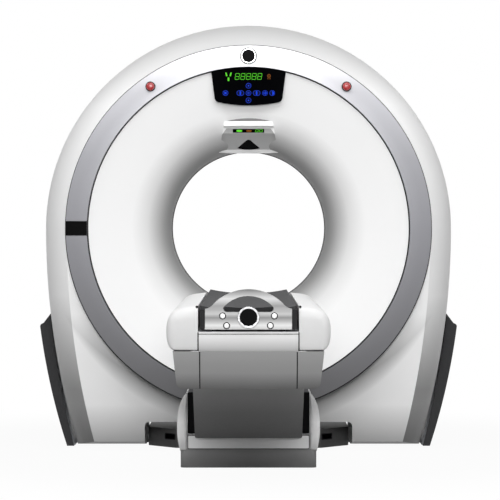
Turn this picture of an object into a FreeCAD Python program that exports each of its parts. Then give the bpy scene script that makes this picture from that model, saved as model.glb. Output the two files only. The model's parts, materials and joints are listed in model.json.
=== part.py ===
import FreeCAD, Part
import math
import operator
import os
import Sketcher

# A computed tomography scanner: a tilting ring-shaped gantry on a low base, and a patient table on
# parallel legs in front of it. Millimetres. The origin is the point of the floor right below the
# isocentre, the centre of the bore. +X is to the right as seen from the foot of the table, +Y runs
# along the bore away from the table, and +Z is up. Gantry pieces are drawn about the isocentre.

os.makedirs("parts", exist_ok=True)
doc = FreeCAD.newDocument("ct_scanner")

# ---------------------------------------------------------------- driving dimensions

DRIVING = {
    # rotor, from the bore outwards
    "bore_radius": 350, "rotor_clear": 62, "hub_wall": 78, "race_gap": 15, "race_wall": 27,
    "roller_play": 0.1, "roller_count": 24, "cage_half": 1.5, "stator_set": 28,
    "stator_width": 65, "slip_set": 15, "slip_width": 90, "rotor_edge": 15, "body_room": 169,
    "rotor_face": 140, "rotor_plate": 20, "rim": 12, "rim_front": 80, "hub_rear": 236,
    "race_front": 185, "race_rear": 235, "race_end": 5, "cage_front": 187, "cage_rear": 233,
    "slip_thick": 15, "air_gap": 2, "brush_angle": 50, "brush_half": 40,
    "collimator_clear": 75, "collimator_depth": 80, "collimator_half": 110,
    "collimator_front": 60, "beam_half": 60, "beam_gap": 6, "focus_rise": 36, "tube_rise": 71,
    "tube_radius": 95, "tube_front": 230, "tube_cap": 60, "tube_cap_front": 252,
    "detector_clear": 59, "detector_depth": 110, "detector_angle": 27, "detector_front": 80,
    "tank_set": 58, "tank_depth": 220, "tank_half": 150, "tank_front": 120,
    "cooler_half": 140, "cooler_front": 140, "fin_pitch": 28, "fin_gap": 14, "fin_depth": 40,
    "fin_count": 10,
    # gantry covers
    "iso_height": 1000, "floor_gap": 15, "side_bow": 3800, "cover_wall": 5, "front_face": 410,
    "rear_face": 480, "shoulder": 300, "shoulder_set": 69.5, "face_lean": 2500,
    "drum_depth": 160, "rear_drum": 750, "front_swing": 46, "rear_swing": 95, "side_swing": 6,
    "notch_corner": 20, "cut_past": 300, "cut_over": 10,
    # ring, funnels and window
    "ring_set": 105, "ring_width": 95, "lip_height": 30, "edge_height": 8, "ring_bulge": 420,
    "drum_gap": 3, "lip_gap": 1.5, "seat_width": 19, "mouth_gap": 15, "funnel_wall": 4,
    "throat_set": 290, "rear_throat_set": 380, "flare": 250, "flare_angle": 70,
    "rear_flare_angle": 55, "flange": 8, "window_half": 20, "window_wall": 3,
    # tilt axis, towers and their covers
    "trunnion_radius": 40, "running_gap": 0.05, "tower_set": 32, "tower_thick": 44,
    "tower_top": 60, "tower_boss": 85, "knee_depth": 400, "knee_low": 190, "knee_high": 280,
    "hip_depth": 620, "hip_set": 24, "hip_thick": 34, "hip_low": 220, "hip_high": 380,
    "foot_set": 114, "foot_thick": 29, "foot_low": 60, "foot_high": 440, "slot_low": 380,
    "slot_high": 665, "slot_front": 12, "slot_rear": 70, "slot_room": 58,
    "side_cover_gap": 17, "side_cover_wall": 4, "side_cover_in_top": 393,
    "side_cover_out_top": 451, "hip_room": 34, "hip_gap": 7.1, "foot_room": 5, "side_cover_bow": 3000,
    "side_cover_front": 20, "side_cover_rear": 470, "side_cover_corner": 14,
    # gantry base
    "plate_thick": 25, "plate_front": 210, "plate_rear": 500, "block_front": 60,
    "block_top": 70, "base_cover_half": 330, "base_cover_wide": 460, "base_cover_front": 90,
    "base_cover_corner": 60, "base_cover_rear": 520, "base_cover_top": 85, "base_cover_wall": 4,
    "tongue_gap": 14, "tongue_slot": 155, "anchor_radius": 9, "anchor_in": 69,
    "anchor_front": 250, "anchor_rear": 460,
    # tilting frame
    "frame_front": 200, "frame_rear": 260, "drive_room": 38, "trunnion_wall": 32,
    "frame_set": 10, "cheek_half": 130, "cheek_reach": 90, "outrigger_half": 40,
    "outrigger_depth": 45, "seat_gap": 0.3, "drive_radius": 95, "drive_thick": 32,
    "drive_bore": 45, "drive_neck": 30, "motor_radius": 38, "motor_y": 60,
    "motor_top": 340, "motor_foot": 500,
    # control panel, its heights measured down from its top edge
    "panel_gap": 3, "panel_tilt": 14.6, "panel_depth": 140, "panel_half_top": 165,
    "panel_half_low": 150, "panel_foot": 135, "panel_corner": 22, "panel_chin_half": 132,
    "panel_chin": 152.6, "panel_bow": 657, "key_radius": 12.5, "key_drop": 112, "key_rise": 32,
    "key_step": 36, "key_far": 102, "key_near": 73, "key_end": 105, "capsule_half": 4.2,
    "key_proud": 1.5, "key_thick": 4, "key_travel": 1, "key_gap": 0.4,
    # visor, its heights measured up from the bore's edge and its depths from the throat
    "visor_half": 107, "visor_top": 140, "visor_side": 124, "visor_low_half": 132,
    "visor_low": -10, "brow_y": 225, "visor_lip": 244, "lip_high": 126, "lip_low": 106,
    "visor_face": 227, "face_high": 97, "chin_y": 217, "chin_high": 73, "visor_end": 92,
    "end_low": 4, "strip_half": 70, "strip_low": 76, "strip_high": 92, "strip_proud": 0.8,
    "strip_thick": 3, "laser_half": 51, "laser_low": 10.5, "laser_high": 43.4,
    "laser_flat": 9, "laser_sag": 7,
    # emergency stops and side plate on the ring
    "stop_angle": 34.67, "stop_radius": 17.7, "stop_gap": 0.3, "bezel_wall": 4,
    "stop_proud": 10, "stop_root": 4.3, "bezel_proud": 2, "bezel_root": 2,
    "plate_half": 32, "plate_sheet": 1.5, "plate_gap": 0.05,
    # table base, its places along the bore measured from the pivots
    "leg_length": 880, "pivot_drop": 444.3, "pivot_step": 400, "pivot_height": 110,
    "bar_radius": 29, "bar_end": 4, "rear_bar_radius": 25, "rear_bar_end": 6,
    "cheek_inner": 258, "cheek_thick": 12, "cheek_front": 25, "cheek_rear": 40,
    "cheek_top": 150, "pin_radius": 14, "floor_thick": 12, "floor_front": 41,
    "floor_rear": 149, "tongue_half": 150, "plinth_side": 14, "plinth_front": 51,
    "plinth_rear": 155, "plinth_top": 78, "plinth_wall": 4, "plinth_corner": 24,
    "well_gap": 0.3, "ear_in": 3, "ear_low": 70, "ear_low_side": 2, "ear_side": 15,
    "ear_side_height": 160, "ear_bend": 220, "ear_bend_side": 10.5, "ear_tip": 312,
    "ear_tip_half": 5, "ear_wall": 3, "ear_front": 49, "ear_rear": 85, "ear_crest": 386,
    "ear_tail": 170, "lift_half": 90, "lift_front": 40, "lift_rear": 145, "lift_top": 72,
    "table_anchor_x": 200, "table_anchor_front": 45, "table_anchor_rear": 55,
    # legs
    "front_arm": 150, "rear_arm": 100, "arm_thick": 30, "arm_half": 25,
    "upper_bar_radius": 25, "upper_bar_end": 4, "upper_pin_radius": 12, "open_pivot_gap": 1,
    "leg_cover_start": 125, "leg_cover_end": 640, "leg_cover_half": 222,
    "leg_cover_front": 50, "leg_cover_back": 30, "leg_cover_wall": 4, "rib_set": 10,
    "rib_thick": 8,
    # table top, its heights measured from the cradle's edge and its widths from the deck
    "table_drop": 262, "foot_end": 3050, "foot_wall": 10, "deck_rear": 1290, "pivot_set": 453.8,
    "deck_low": -99, "deck_top": -87, "deck_half": 236, "beam_wall": 10, "beam_low": -218,
    "beam_front": 1800, "table_wall": 4, "channel_half": 171, "side_crest": -10.5,
    "crest_side": 14, "wide_side": 43, "side_wide_height": -75, "side_round": 90,
    "low_side": 39, "side_low_height": -123, "side_foot": -154, "foot_side": 22,
    "body_low": -284, "body_step": 2, "body_taper": 13, "body_corner": 22, "body_flare": 2,
    "body_seam": 165.5, "panel_seam": 1, "groove_low": -96.5, "groove_high": -94.5,
    "groove_deep": 2, "roller_half": 50, "roller_size": 20, "roller_pin": 6, "roller_set": 40,
    "roller_gap": 0.4, "lug_gap": 3, "lug_thick": 6, "lug_low": -106, "lug_half": 16,
    "lug_over": 12, "hatch_half": 26,
    # cradle
    "cradle_head": 750, "cradle_gap": 8, "cradle_clear": 32, "cradle_sag": 17,
    "skid_inner": 115, "skid_thick": 10, "skid_gap": 0.4, "skid_in": 20, "skid_end": 1900,
    "handle_side": 24,
    "handle_low": -80, "handle_corner": -10, "handle_neck": 7, "neck_half": 118,
    "neck_round": 40, "handle_top": 56, "grip_half": 86, "grip_side": -6.85,
    "grip_radius": 112, "grip_low": -20.7, "grip_corner": 14,
    "boss_radius": 36.5, "boss_height": -39, "boss_proud": 8,
}

sheet = doc.addObject("Spreadsheet::Sheet", "Sizes")
for row, (alias, value) in enumerate(DRIVING.items(), start=1):
    sheet.set(f"A{row}", alias)
    sheet.set(f"B{row}", str(value))
    sheet.setAlias(f"B{row}", alias)
doc.recompute()

OPERATIONS = {"+": operator.add, "-": operator.sub, "*": operator.mul, "/": operator.truediv}


class Size:
    """A length or an angle that knows its value and the sheet expression that gives it."""

    def __init__(self, text, value):
        self.text = text
        self.value = value

    def __add__(self, other):
        return worked_out(self, "+", other)

    def __radd__(self, other):
        return worked_out(other, "+", self)

    def __sub__(self, other):
        return worked_out(self, "-", other)

    def __rsub__(self, other):
        return worked_out(other, "-", self)

    def __mul__(self, other):
        return worked_out(self, "*", other)

    def __rmul__(self, other):
        return worked_out(other, "*", self)

    def __truediv__(self, other):
        return worked_out(self, "/", other)

    def __neg__(self):
        return worked_out(0, "-", self)

    def __float__(self):
        return float(self.value)


def as_size(value):
    return value if isinstance(value, Size) else Size(repr(value), value)


def worked_out(left, sign, right):
    left = as_size(left)
    right = as_size(right)
    value = OPERATIONS[sign](left.value, right.value)
    return Size(f"({left.text} {sign} {right.text})", value)


def root(value):
    return Size(f"sqrt({value.text})", math.sqrt(value.value))


def sine(angle):
    return Size(f"sin({angle.text})", math.sin(math.radians(angle.value)))


def cosine(angle):
    return Size(f"cos({angle.text})", math.cos(math.radians(angle.value)))


def arcsine(ratio):
    return Size(f"asin({ratio.text})", math.degrees(math.asin(ratio.value)))


class Sheet:
    """The cells of the sheet, each read by its name."""

    def __getattr__(self, alias):
        return Size(f"Sizes.{alias}", float(getattr(sheet, alias)))


S = Sheet()

# ---------------------------------------------------------------- sizes that follow from them

# rotor, bearing and drive, from the bore outwards
rotor_inner = S.bore_radius + S.rotor_clear
hub_radius = rotor_inner + S.hub_wall
race_inner = hub_radius + S.race_gap
frame_bore = race_inner + S.race_wall
roller_circle = hub_radius + S.race_gap / 2
roller_radius = S.race_gap / 2 - S.roller_play
stator_inner = frame_bore + S.stator_set
stator_outer = stator_inner + S.stator_width
slip_inner = stator_outer + S.slip_set
slip_outer = slip_inner + S.slip_width
rotor_radius = slip_outer + S.rotor_edge
body_radius = rotor_radius + S.body_room
far_out = body_radius + S.cut_past

# tube, detector and tank
collimator_low = S.bore_radius + S.collimator_clear
collimator_high = collimator_low + S.collimator_depth
focus_radius = collimator_high + S.focus_rise
tube_centre = focus_radius + S.tube_rise
detector_inner = focus_radius + S.bore_radius + S.detector_clear
detector_outer = detector_inner + S.detector_depth
tank_inner = rotor_inner + S.tank_set
tank_outer = tank_inner + S.tank_depth

# covers, ring and funnels
floor_sweep = S.iso_height - S.floor_gap
front_notch_depth = S.iso_height - S.base_cover_top - S.front_swing
rear_notch_depth = S.iso_height - S.base_cover_top - S.rear_swing
notch_half = S.base_cover_wide + S.side_swing
ring_outer = body_radius - S.ring_set
ring_inner = ring_outer - S.ring_width
ring_lip = S.front_face + S.lip_height
ring_edge = S.front_face + S.edge_height
lip_seat = ring_inner - S.seat_width
mouth_radius = lip_seat - S.mouth_gap
throat_front = S.front_face - S.throat_set
throat_rear = S.rear_face - S.rear_throat_set

# towers, their covers and the tilting frame
tower_outer = body_radius - S.tower_set
tower_inner = tower_outer - S.tower_thick
cheek_out = tower_inner - S.drive_room
cheek_in = cheek_out - S.trunnion_wall
frame_radius = cheek_out - S.frame_set
hip_inner = body_radius - S.hip_set
hip_outer = hip_inner + S.hip_thick
foot_inner = body_radius - S.foot_set
foot_outer = foot_inner + S.foot_thick
side_cover_out = hip_outer + S.hip_room
side_cover_foot = foot_outer + S.foot_room
slot_depth = tower_inner - S.slot_room

# table: the legs' slope, its base and the widths of its top
upper_pivot_z = S.iso_height - S.pivot_drop
leg_rise = upper_pivot_z - S.pivot_height
leg_run = root(S.leg_length * S.leg_length - leg_rise * leg_rise)
leg_angle = arcsine(leg_rise / S.leg_length)
upper_pivots = (S.deck_rear + S.pivot_set, S.deck_rear + S.pivot_set - S.pivot_step)
pivot_y = upper_pivots[0] - leg_run
rear_pivot_y = upper_pivots[1] - leg_run
cheek_outer = S.cheek_inner + S.cheek_thick
plinth_half = cheek_outer + S.plinth_side
plinth_front = pivot_y + S.plinth_front
plinth_rear = rear_pivot_y - S.plinth_rear
ear_inner = S.cheek_inner - S.ear_in
ear_front = pivot_y + S.ear_front
ear_rear = rear_pivot_y - S.ear_rear
table_height = S.iso_height - S.table_drop
deck_front = S.foot_end - S.foot_wall
beam_inner = S.deck_half - S.beam_wall
cradle_foot = deck_front - S.foot_wall
cradle_half = S.channel_half - S.cradle_gap
cradle_under = S.bore_radius - S.cradle_clear
cradle_rim = root(cradle_under * cradle_under - cradle_half * cradle_half) - S.table_drop
roller_y = S.deck_rear + S.roller_set
roller_drop = cradle_under - S.table_drop + S.roller_gap + S.roller_size
body_top_half = S.deck_half + S.foot_side - S.body_step
body_low_half = body_top_half - S.body_taper

# ---------------------------------------------------------------- sketches and features

# each plane's normal is +1 or -1 times the axis that it faces
NORMAL = {"XY": 1, "XZ": -1, "YZ": 1}


class Bend:
    """An arc from the point before it to the point after it, with its centre left or right."""

    def __init__(self, radius, side):
        self.radius = as_size(radius)
        self.side = side


def set_size(thing, place, value):
    thing.setExpression(place, as_size(value).text)


def new_body(name, height=0):
    body = doc.addObject("PartDesign::Body", name)
    set_size(body, "Placement.Base.z", height)
    return body


def new_sketch(body, plane, level):
    sketch = body.newObject("Sketcher::SketchObject", body.Name + "_profile")
    planes = {feature.Role: feature for feature in body.Origin.OriginFeatures}
    sketch.AttachmentSupport = (planes[plane + "_Plane"], [""])
    sketch.MapMode = "FlatFace"
    set_size(sketch, "AttachmentOffset.Base.z", NORMAL[plane] * as_size(level))
    return sketch


def arc_geometry(start, end, bend):
    """The shorter arc of a radius between two points, with its centre to the left or right."""
    radius = float(bend.radius)
    chord = end - start
    middle = (start + end) * 0.5
    left = FreeCAD.Vector(-chord.y, chord.x, 0).normalize()
    reach = math.sqrt(max(radius**2 - (chord.Length / 2) ** 2, 0))
    to_centre = left * (reach if bend.side == "left" else -reach)
    outward = left * (-1 if bend.side == "left" else 1)
    return Part.Arc(start, middle + to_centre + outward * radius, end)


def constrain(sketch, kind, geometry, point, value):
    if isinstance(value, Size):
        index = sketch.addConstraint(
            Sketcher.Constraint(kind, -1, 1, geometry, point, value.value)
        )
        sketch.setExpression(f"Constraints[{index}]", value.text)
    elif value == 0:
        axis = -2 if kind == "DistanceX" else -1
        sketch.addConstraint(Sketcher.Constraint("PointOnObject", geometry, point, axis))
    else:
        sketch.addConstraint(Sketcher.Constraint(kind, -1, 1, geometry, point, value))


def add_outline(sketch, outline):
    """A closed loop of points, joined by lines, or by an arc where a Bend stands between two."""
    corners = [step for step in outline if not isinstance(step, Bend)]
    places = [FreeCAD.Vector(float(u), float(v), 0) for u, v in corners]
    bends = {}
    for index, step in enumerate(outline):
        if isinstance(step, Bend):
            bends[sum(not isinstance(other, Bend) for other in outline[:index]) - 1] = step
    ends = []
    for index, start in enumerate(places):
        end = places[(index + 1) % len(places)]
        bend = bends.get(index)
        if bend:
            edge = sketch.addGeometry(arc_geometry(start, end, bend), False)
            constraint = sketch.addConstraint(
                Sketcher.Constraint("Radius", edge, float(bend.radius))
            )
            sketch.setExpression(f"Constraints[{constraint}]", bend.radius.text)
        else:
            edge = sketch.addGeometry(Part.LineSegment(start, end), False)
        forward = sketch.getPoint(edge, 1).distanceToPoint(start) < 1e-4
        ends.append((edge, 1 if forward else 2, 2 if forward else 1))
    for index, (edge, first, last) in enumerate(ends):
        following, its_first, _ = ends[(index + 1) % len(ends)]
        sketch.addConstraint(Sketcher.Constraint("Coincident", edge, last, following, its_first))
        constrain(sketch, "DistanceX", edge, first, corners[index][0])
        constrain(sketch, "DistanceY", edge, first, corners[index][1])


def add_circle(sketch, across, up, radius):
    centre = FreeCAD.Vector(float(across), float(up), 0)
    normal = FreeCAD.Vector(0, 0, 1)
    edge = sketch.addGeometry(Part.Circle(centre, normal, float(radius)), False)
    index = sketch.addConstraint(Sketcher.Constraint("Radius", edge, float(radius)))
    sketch.setExpression(f"Constraints[{index}]", as_size(radius).text)
    constrain(sketch, "DistanceX", edge, 3, across)
    constrain(sketch, "DistanceY", edge, 3, up)


def extruded(body, plane, low, high, outlines=(), circles=(), cut=False):
    """A pad or a pocket from one level to a higher one along the plane's own axis."""
    sketch = new_sketch(body, plane, low)
    for outline in outlines:
        add_outline(sketch, outline)
    for circle in circles:
        add_circle(sketch, *circle)
    kind = "PartDesign::Pocket" if cut else "PartDesign::Pad"
    feature = body.newObject(kind, body.Name + ("_pocket" if cut else "_pad"))
    feature.Profile = sketch
    set_size(feature, "Length", as_size(high) - as_size(low))
    feature.Reversed = (NORMAL[plane] > 0) == cut
    body.Tip = feature
    return feature


def revolved(body, outline, cut=False):
    """A ring about the bore's axis, from an outline of distances along it and radii."""
    sketch = new_sketch(body, "YZ", 0)
    add_outline(sketch, outline)
    kind = "PartDesign::Groove" if cut else "PartDesign::Revolution"
    feature = body.newObject(kind, body.Name + "_turned")
    feature.Profile = sketch
    feature.ReferenceAxis = (sketch, ["H_Axis"])
    feature.Angle = 360
    body.Tip = feature
    return feature


def rounded(body, radius, chosen):
    """A fillet on the edges of the body's last feature for which chosen(edge) is true."""
    doc.recompute()
    base = body.Tip
    edges = enumerate(base.Shape.Edges, start=1)
    names = [f"Edge{number}" for number, edge in edges if chosen(edge)]
    feature = body.newObject("PartDesign::Fillet", body.Name + "_rounded")
    feature.Base = (base, names)
    set_size(feature, "Radius", radius)
    body.Tip = feature
    return feature


TURNS = {
    "X": FreeCAD.Rotation(FreeCAD.Vector(0, 1, 0), 90),
    "Y": FreeCAD.Rotation(FreeCAD.Vector(1, 0, 0), -90),
    "Z": FreeCAD.Rotation(),
}


def put(thing, x, y, z):
    set_size(thing, "Placement.Base.x", x)
    set_size(thing, "Placement.Base.y", y)
    set_size(thing, "Placement.Base.z", z)
    return thing


def rod(name, axis, radius, low, high, x=0, y=0, z=0):
    """A round bar along an axis, from low to high, through the point given across it."""
    bar = doc.addObject("Part::Cylinder", name)
    set_size(bar, "Radius", radius)
    set_size(bar, "Height", as_size(high) - as_size(low))
    bar.Placement = FreeCAD.Placement(FreeCAD.Vector(), TURNS[axis])
    start = {"X": (low, y, z), "Y": (x, low, z), "Z": (x, y, low)}[axis]
    return put(bar, *start)


def block(name, x, y, z):
    """A box from its low and high limits along each axis."""
    box = doc.addObject("Part::Box", name)
    for side, (low, high) in zip(("Length", "Width", "Height"), (x, y, z)):
        set_size(box, side, as_size(high) - as_size(low))
    return put(box, x[0], y[0], z[0])


def fused(name, *pieces):
    whole = doc.addObject("Part::MultiFuse", name)
    whole.Shapes = list(pieces)
    whole.Refine = True
    return whole


def less(name, base, *tools):
    left = doc.addObject("Part::Cut", name)
    left.Base = base
    left.Tool = tools[0] if len(tools) == 1 else fused(name + "_tools", *tools)
    return left


def shared(name, base, tool):
    both = doc.addObject("Part::Common", name)
    both.Base = base
    both.Tool = tool
    return both


def mirror_of(name, source):
    """The same piece on the other side of the scanner's middle plane."""
    twin = doc.addObject("Part::Mirroring", name)
    twin.Source = source
    twin.Base = FreeCAD.Vector()
    twin.Normal = FreeCAD.Vector(1, 0, 0)
    return twin


NODES = []


def keep(name, thing):
    """Names a finished piece and puts it among those that are written out."""
    thing.Label = name
    NODES.append(thing)
    return thing


def iso(offset):
    """A height given from the isocentre."""
    return S.iso_height + offset


def rectangle(u, v):
    """An outline from the limits across and the limits up."""
    return [(u[0], v[0]), (u[1], v[0]), (u[1], v[1]), (u[0], v[1])]


def ring_part(name, y, radii):
    body = new_body(name, S.iso_height)
    revolved(body, rectangle(y, radii))
    return body


# ---------------------------------------------------------------- gantry covers


def body_half_width(depth, inset):
    """Half the gantry's width at a depth below the isocentre, less an inset."""
    bow = S.side_bow - inset
    return body_radius - S.side_bow + root(bow * bow - depth * depth)


def arch_outline(inset, depth):
    """The gantry's front outline: half a circle on top and two long bowed sides."""
    radius = body_radius - inset
    bow = S.side_bow - inset
    foot = body_half_width(depth, inset)
    return [
        (radius, 0), Bend(radius, "left"), (0, radius), Bend(radius, "left"), (-radius, 0),
        Bend(bow, "left"), (-foot, -depth), (foot, -depth), Bend(bow, "left"),
    ]


def lean_profile(face, sign, depth):
    """What lies before a face that is upright above the isocentre and leans back, bowed, below."""
    outside = face + S.cut_past
    foot = face - (S.face_lean - root(S.face_lean * S.face_lean - depth * depth))
    side = "left" if sign < 0 else "right"
    return [
        (sign * face, depth), (sign * face, 0), Bend(S.face_lean, side), (sign * foot, -depth),
        (sign * outside, -depth), (sign * outside, depth),
    ]


def half_form(name, sign, face, inset):
    """One half of the gantry's rounded body: the front for sign -1 and the rear for sign 1."""
    body = new_body(name, S.iso_height)
    reach = face + S.shoulder_set - inset
    depth = floor_sweep + S.cut_over
    low, high = (-reach, 0) if sign < 0 else (0, reach)
    extruded(body, "XZ", low, high, [arch_outline(inset, depth)])
    extruded(body, "YZ", -far_out, far_out, [lean_profile(reach, sign, depth + S.cut_over)], cut=True)

    def on_rim(edge):
        span = edge.LastParameter - edge.FirstParameter
        for share in (0.02, 0.5, 0.98):
            point = edge.valueAt(edge.FirstParameter + share * span)
            width = float(body_radius - inset)
            lean = 0
            if point.z < 0:
                width = float(body_half_width(as_size(-point.z), inset))
                bow = float(S.face_lean)
                lean = bow - math.sqrt(bow**2 - point.z**2)
            across = math.hypot(point.x, max(point.z, 0))
            if abs(across - width) > 0.5 or abs(sign * point.y - float(reach) + lean) > 0.5:
                return False
        return True

    rounded(body, S.shoulder - inset, on_rim)
    sweep = floor_sweep - inset
    corner = sweep + S.cut_past
    below = [
        (-sweep, 0), Bend(sweep, "left"), (0, -sweep), Bend(sweep, "left"), (sweep, 0),
        (corner, 0), (corner, -corner), (-corner, -corner), (-corner, 0),
    ]
    extruded(body, "YZ", -far_out, far_out, [below], cut=True)
    extruded(body, "YZ", -far_out, far_out, [lean_profile(face - inset, sign, depth + S.cut_over)], cut=True)
    return body


def base_notch(name, depth):
    """What is cut from the foot of a cover so that it swings clear of the base."""
    body = new_body(name, S.iso_height)
    half = notch_half
    corner = S.notch_corner
    foot = -floor_sweep - S.cut_over
    outline = [
        (half, foot), (half, -depth - corner), Bend(corner, "left"), (half - corner, -depth),
        (corner - half, -depth), Bend(corner, "left"), (-half, -depth - corner), (-half, foot),
    ]
    extruded(body, "XZ", -far_out, far_out, [outline])
    return body


def around_iso(radius, angle):
    """A point of a circle round the tilt axis, at an angle from straight down to the rear."""
    return (radius * sine(angle), -(radius * cosine(angle)))


tower_slot = new_body("tower_slot", S.iso_height)
extruded(tower_slot, "YZ", slot_depth, far_out, [[
    around_iso(S.slot_high, -S.slot_front), Bend(S.slot_high, "left"),
    around_iso(S.slot_high, S.slot_rear), around_iso(S.slot_low, S.slot_rear),
    Bend(S.slot_low, "right"), around_iso(S.slot_low, -S.slot_front),
]])
tower_slots = [tower_slot, mirror_of("tower_slot_left", tower_slot)]


def half_cover(name, sign, face, radius, notch, mouth):
    """A hollow half of the gantry's housing, with the drum that its round face stands on."""
    wall = S.cover_wall
    outside = half_form(name + "_outside", sign, face, 0)
    inside = half_form(name + "_inside", sign, face, wall)
    root_of_drum = sign * (face - S.drum_depth)
    solids = []
    for part_name, end, size in (("_drum", face, radius), ("_well", face - wall, radius - wall)):
        limits = sorted((root_of_drum, sign * end), key=float)
        solids.append(rod(name + part_name, "Y", size, *limits, z=S.iso_height))
    limits = sorted((sign * (face - S.cut_past / 2), sign * (face + S.cut_past)), key=float)
    opening = rod(name + "_mouth", "Y", mouth, *limits, z=S.iso_height)
    whole = fused(name + "_whole", outside, solids[0])
    return less(name + "_shell", whole, inside, solids[1], opening, notch, *tower_slots)


front_notch = base_notch("front_notch", front_notch_depth)
rear_notch = base_notch("rear_notch", rear_notch_depth)
front_drum = ring_outer - S.drum_gap
keep("front_cover", half_cover(
    "front_cover", -1, S.front_face, front_drum, front_notch, mouth_radius
))

# The bore flares out at both ends: an arc from the throat, then a straight cone to the rim.
flare_centre = S.bore_radius + S.flare


def flare_end(start, angle, wall):
    """Where the arc of a flare ends: its place along the bore and its radius."""
    arc = S.flare - wall
    return (start + arc * sine(angle), flare_centre - arc * cosine(angle))


def cone_place(end, angle, radius):
    """Where the cone beyond the flare's end reaches a radius, along the bore."""
    return end[0] + (radius - end[1]) * cosine(angle) / sine(angle)


rear_bend = flare_end(throat_rear, S.rear_flare_angle, 0)
rear_bend_back = flare_end(throat_rear, S.rear_flare_angle, S.funnel_wall)
rear_slope = sine(S.rear_flare_angle) / cosine(S.rear_flare_angle)
rear_rim = rear_bend[1] + (S.rear_face - rear_bend[0]) * rear_slope
rear_seat = S.rear_face - S.cover_wall
rear_rim_back = rear_bend_back[1] + (rear_seat - rear_bend_back[0]) * rear_slope
rear_funnel = new_body("rear_funnel", S.iso_height)
revolved(rear_funnel, [
    (S.window_half, S.bore_radius), (throat_rear, S.bore_radius), Bend(S.flare, "left"),
    rear_bend, (S.rear_face, rear_rim), (S.rear_face, rear_rim + S.flange),
    (rear_seat, rear_rim + S.flange), (rear_seat, rear_rim_back), rear_bend_back,
    Bend(S.flare - S.funnel_wall, "right"), (throat_rear, S.bore_radius + S.funnel_wall),
    (S.window_half, S.bore_radius + S.funnel_wall),
])
keep("rear_funnel", rear_funnel)
rear_mouth = rear_rim + S.flange
keep("rear_cover", half_cover(
    "rear_cover", 1, S.rear_face, S.rear_drum, rear_notch, rear_mouth
))

# ---------------------------------------------------------------- ring, funnel and window

trim_ring = new_body("trim_ring", S.iso_height)
revolved(trim_ring, [
    (-S.front_face, ring_inner), (-ring_lip, ring_inner), Bend(S.ring_bulge, "right"),
    (-ring_edge, ring_outer), (-S.front_face, ring_outer),
])
stop_circle = (ring_inner + ring_outer) / 2
stop_x = stop_circle * sine(S.stop_angle)
stop_z = stop_circle * cosine(S.stop_angle)
STOPS = {"left": -stop_x, "right": stop_x}
bezel_inner = S.stop_radius + S.stop_gap
bezel_outer = bezel_inner + S.bezel_wall
stop_holes = [(x, stop_z, bezel_outer) for x in STOPS.values()]
extruded(
    trim_ring, "XZ", -ring_lip - S.cut_over, S.cut_over - S.front_face, circles=stop_holes,
    cut=True,
)
keep("trim_ring", trim_ring)

front_bend = flare_end(throat_front, S.flare_angle, 0)
front_bend_back = flare_end(throat_front, S.flare_angle, S.funnel_wall)
lip_radius = ring_inner - S.lip_gap
throat_outer = S.bore_radius + S.funnel_wall
front_funnel = new_body("front_funnel", S.iso_height)
revolved(front_funnel, [
    (-S.window_half, S.bore_radius), (-throat_front, S.bore_radius), Bend(S.flare, "right"),
    (-front_bend[0], front_bend[1]),
    (-cone_place(front_bend, S.flare_angle, lip_radius), lip_radius),
    (-S.front_face, lip_radius), (-S.front_face, lip_seat),
    (-cone_place(front_bend_back, S.flare_angle, lip_seat), lip_seat),
    (-front_bend_back[0], front_bend_back[1]), Bend(S.flare - S.funnel_wall, "left"),
    (-throat_front, throat_outer), (-S.window_half, throat_outer),
])
keep("front_funnel", front_funnel)

window = (S.bore_radius, S.bore_radius + S.window_wall)
keep("scan_window", ring_part("scan_window", (-S.window_half, S.window_half), window))


def trim_behind_funnel(body):
    """Cuts away what would lie inside the wall of the front funnel or behind it."""
    edge = ring_outer
    revolved(body, [
        (0, S.bore_radius), (-throat_front, S.bore_radius), Bend(S.flare, "right"),
        (-front_bend[0], front_bend[1]), (-cone_place(front_bend, S.flare_angle, edge), edge),
        (0, edge),
    ], cut=True)


# ---------------------------------------------------------------- gantry base

tower_feet = [
    (0, (foot_inner, foot_outer), (S.foot_low, S.foot_high)),
    (iso(-S.hip_depth), (hip_inner, hip_outer), (S.hip_low, S.hip_high)),
    (iso(-S.knee_depth), (tower_inner, tower_outer), (S.knee_low, S.knee_high)),
    (S.iso_height, (tower_inner, tower_outer), (-S.tower_top, S.tower_top)),
]
tower_leg = new_body("tower_leg")
sections = []
for level, across, along in tower_feet:
    section = new_sketch(tower_leg, "XY", level)
    add_outline(section, rectangle(across, along))
    sections.append(section)
tower_loft = tower_leg.newObject("PartDesign::AdditiveLoft", "tower_loft")
tower_loft.Profile = sections[0]
tower_loft.Sections = sections[1:]
tower_loft.Ruled = True
tower_leg.Tip = tower_loft
tower_head = rod("tower_head", "X", S.tower_boss, tower_inner, tower_outer, z=S.iso_height)
trunnion_bore = rod(
    "trunnion_bore", "X", S.trunnion_radius + S.running_gap, tower_inner - S.cut_over,
    tower_outer + S.cut_over, z=S.iso_height,
)
tower = less("tower", fused("tower_blank", tower_leg, tower_head), trunnion_bore)
plate = block(
    "floor_plate", (-foot_outer, foot_outer), (S.plate_front, S.plate_rear),
    (0, S.plate_thick),
)


def base_plan(inset, rear):
    """The plan of the base's middle, with its two slanted front corners."""
    wide = S.base_cover_wide - inset
    narrow = S.base_cover_half - inset * 0.35
    front = inset - S.base_cover_front
    return [
        (-narrow, front), (narrow, front), (wide, S.base_cover_corner), (wide, rear),
        (-wide, rear), (-wide, S.base_cover_corner),
    ]


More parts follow.
